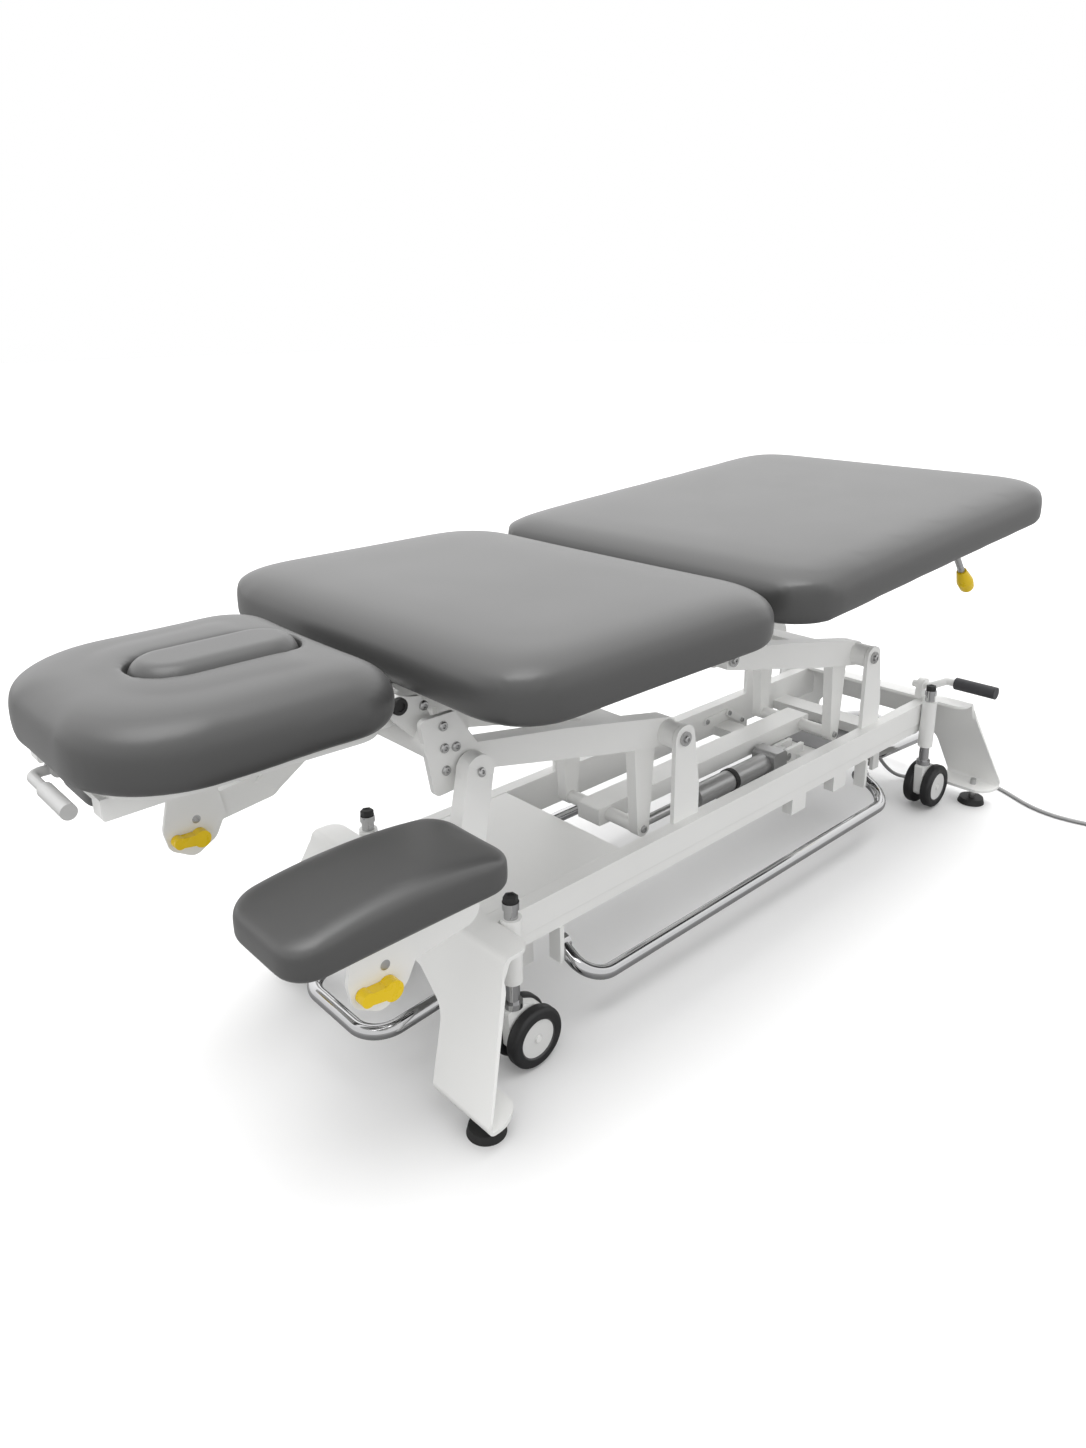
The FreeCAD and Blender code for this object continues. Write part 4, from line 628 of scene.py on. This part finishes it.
FLOOR = 0.0045
ROUTE = [(0.6926, -0.030, 0.145), (0.726, -0.031, 0.141), (0.760, -0.036, 0.116), (0.784, -0.044, 0.080),
         (0.806, -0.056, 0.042), (0.832, -0.073, 0.014), (0.864, -0.094, FLOOR), (0.906, -0.118, FLOOR),
         (0.942, -0.152, FLOOR), (0.961, -0.198, FLOOR), (0.959, -0.246, FLOOR), (0.939, -0.292, FLOOR),
         (0.915, -0.338, FLOOR), (0.904, -0.388, FLOOR), (0.910, -0.438, FLOOR), (0.926, -0.486, FLOOR),
         (0.952, -0.528, FLOOR)]
COIL_RADIUS = 0.048
COIL_STEP = 0.0094
TURNS_IN = 3
TURNS_OUT = 3
LAYER_RISE = 1.16
TURN_POINTS = 16


def coil_state(quarter, thick):
    """Radius and height of the coil after so many quarter turns: in on the floor, up, then out on top."""
    step = COIL_STEP / 4
    inner = 4 * TURNS_IN
    outer = COIL_RADIUS + COIL_STEP * (TURNS_IN - 1) / 2
    high = FLOOR + thick * LAYER_RISE
    if quarter <= inner:
        return outer - step * quarter, FLOOR
    if quarter <= inner + 2:
        return outer - step * inner, FLOOR + (high - FLOOR) * (quarter - inner) / 2
    past = quarter - inner - 2
    radius = outer - step * inner + step * past
    radius += COIL_STEP * max(0.0, past - 4 * TURNS_OUT)
    return radius, high


def coil_points(thick):
    """The coil's points, entered along the route's last run, and its centre."""
    start = Vector(ROUTE[-1])
    along = (start - Vector(ROUTE[-2])).normalized()
    side = Vector((along.y, -along.x, 0))
    centre = start + along * thick + side * coil_state(0, thick)[0]
    first = math.atan2(-side.y, -side.x)
    # The curve runs inside its points by this share
    inside = 0.75 + 0.25 * math.cos(2 * math.pi / TURN_POINTS)
    points = []
    for index in range(1, (TURNS_IN + TURNS_OUT + 1) * TURN_POINTS + 1):
        radius, height = coil_state(4 * index / TURN_POINTS, thick)
        angle = first - index * 2 * math.pi / TURN_POINTS
        points.append((centre.x + radius / inside * math.cos(angle),
                       centre.y + radius / inside * math.sin(angle), height))
    return points, centre


class TABLE_OT_mains_lead(bpy.types.Operator):
    """Run the mains cord from its gland along the floor into its coil"""
    bl_idname = "treatment_table.mains_lead"
    bl_label = "Mains lead"

    def execute(self, context):
        thick = context.scene.treatment_table.cord
        points = ROUTE + coil_points(thick)[0]
        curve = bpy.data.curves.new("mains_lead", "CURVE")
        curve.dimensions = "3D"
        curve.bevel_depth = thick / 2
        curve.bevel_resolution = 4
        curve.resolution_u = 8
        curve.use_fill_caps = True
        line = curve.splines.new("NURBS")
        line.points.add(len(points) - 1)
        for spot, point in zip(line.points, points):
            spot.co = (*point, 1.0)
        line.order_u = 3
        line.use_endpoint_u = True
        item = bpy.data.objects.new("mains_lead", curve)
        context.scene.collection.objects.link(item)
        curve.materials.append(FINISHES["cord"])
        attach(item, "base")
        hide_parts("mains_cord", "mains_coil")
        return {"FINISHED"}


# Small fittings

TOP_SHARE = 0.99


def dimpled(sides, radius, tall, round_off, steps, rim, sink):
    """A short post with a rounded top and a sunk socket, standing on the origin."""
    bpy.ops.object.select_all(action="DESELECT")
    bpy.ops.mesh.primitive_cylinder_add(vertices=sides, radius=radius, depth=tall, location=(0, 0, tall / 2))
    item = bpy.context.active_object
    bpy.ops.object.transform_apply(location=True, rotation=True, scale=True)
    bpy.ops.object.mode_set(mode="EDIT")
    bpy.ops.mesh.select_mode(type="FACE")
    pick(item, lambda face: face.normal.z > FACING)
    bpy.ops.mesh.bevel(offset=round_off, segments=steps, affect="EDGES")
    pick(item, lambda face: face.normal.z > FACING and face.calc_center_median().z > tall * TOP_SHARE)
    bpy.ops.mesh.inset(thickness=rim, depth=0)
    bpy.ops.mesh.extrude_region_move(TRANSFORM_OT_translate={"value": (0, 0, -sink)})
    bpy.ops.object.mode_set(mode="OBJECT")
    return item


# Where the lines to the seats start: beside the frame, in front of each armrest, and close to small pieces
OUTSIDE = 0.4
REST_STARTS = {"near": -0.6, "far": 0.0}
ABOVE_STEMS = 0.4
ABOVE_COLLAR = 0.3
BEFORE_LINK = 0.05


def seat(node, start, toward):
    """The first place and normal of a frame node along a line."""
    hit, place, normal, face = frame["nodes"][node].ray_cast(Vector(start), Vector(toward))
    if not hit:
        raise RuntimeError("no face of " + node + " along the line from " + str(start))
    return place, normal


def side_seat(node, sign, x, z):
    """A seat on the side of a frame node: near with sign -1, far with sign 1."""
    return seat(node, (x, sign * OUTSIDE, z), (0, -sign, 0))


def rest_seat(node, side, x, z):
    """A seat on the front of one armrest's frame node."""
    return seat(node + side, (x, REST_STARTS[side], z), (0, 1, 0))


def set_copies(model, spots, name, body, finish):
    """Copies of a model on their seats, joined into one piece."""
    made = []
    for place, normal in spots:
        item = bpy.data.objects.new(name, model.data.copy())
        bpy.context.scene.collection.objects.link(item)
        item.matrix_world = Matrix.Translation(place) @ normal.to_track_quat("Z", "Y").to_matrix().to_4x4()
        made.append(item)
    only(made[0])
    for item in made:
        item.select_set(True)
    if len(made) > 1:
        bpy.ops.object.join()
    return settle(made[0], name, body, finish)


FLUSH = 0.0003
ARM_PIVOTS = ((-0.022, "front"), (0.552, "rear"))
DROP_PLATE_SCREWS = ((-0.515, 0.571), (-0.503, 0.546), (-0.502, 0.516), (-0.501, 0.485), (-0.484, 0.513))


def screw_spots():
    """Seats of the screws, by the body that carries them."""
    spots = {"base": [], "top": [], "front_arm": [], "rear_arm": [], "carrier_near": [], "carrier_far": [],
             "rest_near": [], "rest_far": []}
    for sign in (-1, 1):
        for x, arm in ARM_PIVOTS:
            spots["base"].append(side_seat("base_pivot_pins", sign, x=x, z=0.383))
            spots["top"].append(side_seat("top_pivot_pins", sign, x=x - 0.404, z=0.466))
            spots[arm + "_arm"].append(side_seat(arm + "_swing_arm", sign, x=x - 0.04, z=0.217))
        for x, z in DROP_PLATE_SCREWS:
            spots["top"].append(side_seat("top_frame", sign, x, z))
    for side in REST_STARTS:
        spots["carrier_" + side].append(rest_seat("armrest_carrier_", side, x=-0.466, z=0.48))
        spots["rest_" + side].append(rest_seat("armrest_plate_", side, x=-0.671, z=0.38))
    return spots


class TABLE_OT_screws(bpy.types.Operator):
    """Set domed socket screws on the pivots, brackets and plates, and flush ones behind the lock knobs"""
    bl_idname = "treatment_table.screws"
    bl_label = "Screws"

    def execute(self, context):
        radius = context.scene.treatment_table.screw
        context.view_layer.update()
        model = dimpled(sides=24, radius=radius, tall=radius * 0.62, round_off=radius * 0.36, steps=4,
                        rim=radius * 0.2, sink=radius * 0.3)
        for body, spots in screw_spots().items():
            set_copies(model, spots, "screws_" + body, body, "zinc")
        bpy.data.objects.remove(model)
        flush = dimpled(sides=24, radius=radius, tall=FLUSH, round_off=FLUSH / 3, steps=2, rim=radius * 0.4,
                        sink=FLUSH * 0.6)
        for side in REST_STARTS:
            spot = rest_seat("armrest_carrier_", side, x=-0.671, z=0.331)
            set_copies(flush, [spot], "flush_screw_" + side, "carrier_" + side, "zinc")
        bpy.data.objects.remove(flush)
        return {"FINISHED"}


class TABLE_OT_caster_caps(bpy.types.Operator):
    """Put a black hexagonal cap on every caster stem"""
    bl_idname = "treatment_table.caster_caps"
    bl_label = "Caster caps"

    def execute(self, context):
        context.view_layer.update()
        model = dimpled(sides=6, radius=0.0108, tall=0.0095, round_off=0.0022, steps=3, rim=0.0026,
                        sink=0.0012)
        for tag in ("near_head", "near_foot", "far_head", "far_foot"):
            low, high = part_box("caster_stem_" + tag)
            middle = (Vector(low) + Vector(high)) / 2
            spot = seat("caster_stem_" + tag, (middle.x, middle.y, ABOVE_STEMS), (0, 0, -1))
            set_copies(model, [spot], "stem_cap_" + tag, "stem_" + tag, "rubber")
        bpy.data.objects.remove(model)
        return {"FINISHED"}


class TABLE_OT_tube_plugs(bpy.types.Operator):
    """Close the head hinge tube and the head bars with black plugs"""
    bl_idname = "treatment_table.tube_plugs"
    bl_label = "Tube plugs"

    def execute(self, context):
        context.view_layer.update()
        wide = dimpled(sides=32, radius=0.0112, tall=0.006, round_off=0.002, steps=3, rim=0.003,
                       sink=0.0022)
        small = dimpled(sides=24, radius=0.0048, tall=0.0022, round_off=0.0008, steps=2, rim=0.0014,
                        sink=0.001)
        ends = [side_seat("top_frame", sign, x=-0.552, z=0.58) for sign in (-1, 1)]
        holes = [side_seat("head_frame", sign, x=-0.582, z=0.557) for sign in (-1, 1)]
        set_copies(wide, ends, "hinge_tube_plugs", "top", "rubber")
        set_copies(small, holes, "head_bar_plugs", "head", "rubber")
        bpy.data.objects.remove(wide)
        bpy.data.objects.remove(small)
        return {"FINISHED"}


LINK_SPOTS = [(0.392, 0.212), (0.462, 0.214), (0.508, 0.186)]
LINK_WIDE = 0.016
LINK_THICK = 0.004
END_ROUND = 0.48
EDGE_ROUND = 0.18


def strap(start, end, back):
    """A flat bar with round ends between two points, flat against a wall on its far side."""
    run = Vector((end[0] - start[0], end[1] - start[1]))
    bpy.ops.object.select_all(action="DESELECT")
    bpy.ops.mesh.primitive_cube_add(size=1)
    item = bpy.context.active_object
    item.scale = (run.length + LINK_WIDE, LINK_THICK, LINK_WIDE)
    bpy.ops.object.transform_apply(location=True, rotation=True, scale=True)
    bpy.ops.object.mode_set(mode="EDIT")
    bpy.ops.mesh.select_mode(type="EDGE")
    bpy.ops.mesh.select_all(action="DESELECT")
    shape = bmesh.from_edit_mesh(item.data)
    for edge in shape.edges:
        edge.select_set(abs(edge.verts[0].co.y - edge.verts[1].co.y) > LINK_THICK / 2)
    bmesh.update_edit_mesh(item.data)
    bpy.ops.mesh.bevel(offset=LINK_WIDE * END_ROUND, segments=6, affect="EDGES")
    bpy.ops.object.mode_set(mode="OBJECT")
    applied(item, "BEVEL", width=LINK_THICK * EDGE_ROUND, segments=2)
    item.rotation_euler = (0, -math.atan2(run.y, run.x), 0)
    item.location = ((start[0] + end[0]) / 2, back - LINK_THICK / 2, (start[1] + end[1]) / 2)
    return item


class TABLE_OT_bar_link(bpy.types.Operator):
    """Screw the foot bar's switch link to the inside of the far rail"""
    bl_idname = "treatment_table.bar_link"
    bl_label = "Bar link"

    def execute(self, context):
        context.view_layer.update()
        first, joint, last = LINK_SPOTS
        wall = seat("base_frame", (joint[0], BEFORE_LINK, joint[1]), (0, 1, 0))[0].y
        long_arm = strap(first, joint, wall)
        short_arm = strap(joint, last, wall - LINK_THICK)
        settle(long_arm, "bar_link_long", "base", "enamel")
        settle(short_arm, "bar_link_short", "base", "enamel")
        model = dimpled(sides=24, radius=0.0055, tall=0.0034, round_off=0.002, steps=4, rim=0.0011,
                        sink=0.0016)
        seats = [(Vector((x, wall - LINK_THICK * layers, z)), Vector((0, -1, 0)))
                 for (x, z), layers in zip(LINK_SPOTS, (1, 2, 2))]
        set_copies(model, seats, "bar_link_screws", "base", "zinc")
        bpy.data.objects.remove(model)
        return {"FINISHED"}


COLLAR_PLACE = (0.228, -0.052, 0.196)
COLLAR_RISE = 0.0018


class TABLE_OT_drive_collar(bpy.types.Operator):
    """Fit a black ring round the lift drive's tube"""
    bl_idname = "treatment_table.drive_collar"
    bl_label = "Drive collar"

    def execute(self, context):
        context.view_layer.update()
        x, y, z = COLLAR_PLACE
        wall = seat("actuator_housing", (x, y, ABOVE_COLLAR), (0, 0, -1))[0].z - z
        bpy.ops.object.select_all(action="DESELECT")
        bpy.ops.mesh.primitive_cylinder_add(vertices=48, radius=wall + COLLAR_RISE, depth=0.012,
                                            end_fill_type="NOTHING", location=COLLAR_PLACE,
                                            rotation=(0, math.pi / 2, 0))
        item = context.active_object
        applied(item, "SOLIDIFY", thickness=0.0017)
        applied(item, "BEVEL", width=0.0006, segments=2)
        settle(item, "drive_collar", "drive_housing", "rubber")
        return {"FINISHED"}


# The tie's place round the coil, its room outside the cord's middle in cord widths, and its squareness
TIE_ANGLE = -1.9
TIE_ROOM = 0.62
TIE_POWER = 0.6
TIE_LOW = 0.0004


class TABLE_OT_coil_tie(bpy.types.Operator):
    """Wrap a rubber band round the coiled cord"""
    bl_idname = "treatment_table.coil_tie"
    bl_label = "Coil tie"

    def execute(self, context):
        thick = context.scene.treatment_table.cord
        centre = coil_points(thick)[1]
        inner = coil_state(4 * TURNS_IN, thick)[0] - thick * TIE_ROOM
        outer = coil_state(0, thick)[0] + thick * TIE_ROOM
        tall = FLOOR + thick * (LAYER_RISE + TIE_ROOM)
        along = Vector((math.cos(TIE_ANGLE), math.sin(TIE_ANGLE), 0))
        bpy.ops.object.select_all(action="DESELECT")
        bpy.ops.mesh.primitive_cylinder_add(vertices=40, radius=1, depth=0.014, end_fill_type="NOTHING",
                                            rotation=(math.pi / 2, 0, 0))
        item = context.active_object
        bpy.ops.object.transform_apply(location=True, rotation=True, scale=True)
        for vertex in item.data.vertices:
            wide = math.copysign(abs(vertex.co.x) ** TIE_POWER, vertex.co.x)
            high = math.copysign(abs(vertex.co.z) ** TIE_POWER, vertex.co.z)
            vertex.co = (wide * (outer - inner) / 2, vertex.co.y, max(TIE_LOW, tall * (high + 1) / 2))
        applied(item, "SOLIDIFY", thickness=0.0014)
        applied(item, "BEVEL", width=0.0004, segments=2)
        item.rotation_euler = (0, 0, TIE_ANGLE)
        item.location = Vector((centre.x, centre.y, 0)) + along * (inner + outer) / 2
        settle(item, "coil_tie", "base", "rubber", 40.0)
        return {"FINISHED"}


# Stage

CAMERA_PLACE = (-1.197016, -1.097240, 1.027132)
CAMERA_YAW = 0.83084
CAMERA_PITCH = 0.31737
CAMERA_ROLL = -0.01436
FOCAL = 1013.27
PICTURE_HIGH = 1448.0
AXIS_ROW = 649.94
SENSOR = 36.0
WHITE = (1, 1, 1, 1)
BACKDROP = 1.0
ROOM_DIM = 1.08
ROOM_BRIGHT = 1.6
FLOOR_BOUNCE = (0.34, 0.34, 0.34, 1)


def camera_matrix():
    """The camera's place and turn from its yaw, pitch and roll."""
    ahead = Vector((math.cos(CAMERA_YAW) * math.cos(CAMERA_PITCH),
                    math.sin(CAMERA_YAW) * math.cos(CAMERA_PITCH),
                    -math.sin(CAMERA_PITCH)))
    level = Vector((math.sin(CAMERA_YAW), -math.cos(CAMERA_YAW), 0))
    top = level.cross(ahead)
    right = level * math.cos(CAMERA_ROLL) + top * math.sin(CAMERA_ROLL)
    up = top * math.cos(CAMERA_ROLL) - level * math.sin(CAMERA_ROLL)
    turn = Matrix((right, up, -ahead)).transposed().to_4x4()
    return Matrix.Translation(CAMERA_PLACE) @ turn


def by_ray(tree, shown, lit, output):
    """Show one shader to the camera and let another one light the scene."""
    ray = tree.nodes.new("ShaderNodeLightPath")
    both = tree.nodes.new("ShaderNodeMixShader")
    tree.links.new(ray.outputs["Is Camera Ray"], both.inputs[0])
    tree.links.new(lit.outputs[0], both.inputs[1])
    tree.links.new(shown.outputs[0], both.inputs[2])
    tree.links.new(both.outputs[0], tree.nodes[output].inputs["Surface"])


def studio_world(scene):
    """A studio that is bright behind the table and dim in front of it, with a plain white backdrop."""
    world = bpy.data.worlds.new("studio")
    scene.world = world
    world.use_nodes = True
    tree = world.node_tree
    room = tree.nodes["Background"]
    room.inputs["Color"].default_value = WHITE
    coords = tree.nodes.new("ShaderNodeTexCoord")
    facing = tree.nodes.new("ShaderNodeVectorMath")
    facing.operation = "DOT_PRODUCT"
    facing.inputs[1].default_value = (math.cos(CAMERA_YAW), math.sin(CAMERA_YAW), 0.5)
    tree.links.new(coords.outputs["Generated"], facing.inputs[0])
    strength = graded(tree, facing.outputs["Value"], ROOM_DIM, ROOM_BRIGHT, start=0.1, end=1.1)
    tree.links.new(strength, room.inputs["Strength"])
    backdrop = tree.nodes.new("ShaderNodeBackground")
    backdrop.inputs["Color"].default_value = WHITE
    backdrop.inputs["Strength"].default_value = BACKDROP
    by_ray(tree, backdrop, room, "World Output")


def soft_sun(name, toward, spread, power):
    """A wide, even light from one direction."""
    lamp = bpy.data.lights.new(name, "SUN")
    lamp.angle = spread
    lamp.energy = power
    item = bpy.data.objects.new(name, lamp)
    bpy.context.scene.collection.objects.link(item)
    item.location = (0, 0, 3)
    item.rotation_euler = Vector(toward).to_track_quat("-Z", "Y").to_euler()


def quiet_floor(material):
    """Let the floor look pale and throw little light back up."""
    tree = material.node_tree
    dull = tree.nodes.new("ShaderNodeBsdfDiffuse")
    dull.inputs["Color"].default_value = FLOOR_BOUNCE
    by_ray(tree, tree.nodes["Principled BSDF"], dull, "Material Output")


class TABLE_OT_stage(bpy.types.Operator):
    """Lay the floor, hang the lights and set the camera"""
    bl_idname = "treatment_table.stage"
    bl_label = "Stage"

    def execute(self, context):
        values = context.scene.treatment_table
        bpy.ops.object.select_all(action="DESELECT")
        bpy.ops.mesh.primitive_plane_add(size=60)
        floor = context.active_object
        floor.name = "studio_floor"
        floor.data.materials.append(surface("studio_floor", tuple(values.floor), 0.6, mottle=0.004, patch=0.4,
                                            grain=40.0, bump=0.0, spread=0.02))
        quiet_floor(floor.data.materials[0])
        context.scene.view_settings.view_transform = "Standard"
        studio_world(context.scene)
        soft_sun("overhead", toward=(0.16, 0.02, -1.0), spread=0.9, power=1.7)
        lens = bpy.data.cameras.new("camera")
        lens.sensor_width = SENSOR
        lens.lens = FOCAL / PICTURE_HIGH * SENSOR
        lens.shift_y = (AXIS_ROW - PICTURE_HIGH / 2) / PICTURE_HIGH
        lens.clip_end = 200
        camera = bpy.data.objects.new("camera", lens)
        context.scene.collection.objects.link(camera)
        camera.matrix_world = camera_matrix()
        context.scene.camera = camera
        return {"FINISHED"}


class TABLE_PT_panel(bpy.types.Panel):
    """Sizes, colours and building steps of the treatment table"""
    bl_idname = "TABLE_PT_panel"
    bl_label = "Treatment table"
    bl_space_type = "VIEW_3D"
    bl_region_type = "UI"
    bl_category = "Table"

    def draw(self, context):
        values = context.scene.treatment_table
        for name in TableSettings.__annotations__:
            self.layout.prop(values, name)
        for operator in OPERATORS:
            self.layout.operator(operator.bl_idname)


OPERATORS = [TABLE_OT_finishes, TABLE_OT_stage, TABLE_OT_mains_lead, TABLE_OT_coil_tie, TABLE_OT_screws,
             TABLE_OT_caster_caps, TABLE_OT_tube_plugs, TABLE_OT_bar_link, TABLE_OT_drive_collar,
             TABLE_OT_padding]


def register():
    bpy.utils.register_class(TableSettings)
    for operator in OPERATORS:
        bpy.utils.register_class(operator)
    bpy.utils.register_class(TABLE_PT_panel)
    bpy.types.Scene.treatment_table = PointerProperty(type=TableSettings)


def unregister():
    del bpy.types.Scene.treatment_table
    bpy.utils.unregister_class(TABLE_PT_panel)
    for operator in reversed(OPERATORS):
        bpy.utils.unregister_class(operator)
    bpy.utils.unregister_class(TableSettings)


def main():
    register()
    bpy.ops.treatment_table.finishes()
    bpy.ops.treatment_table.stage()
    bpy.ops.treatment_table.mains_lead()
    bpy.ops.treatment_table.coil_tie()
    bpy.ops.treatment_table.screws()
    bpy.ops.treatment_table.caster_caps()
    bpy.ops.treatment_table.tube_plugs()
    bpy.ops.treatment_table.bar_link()
    bpy.ops.treatment_table.drive_collar()
    bpy.ops.treatment_table.padding()


if __name__ == "__main__":
    main()
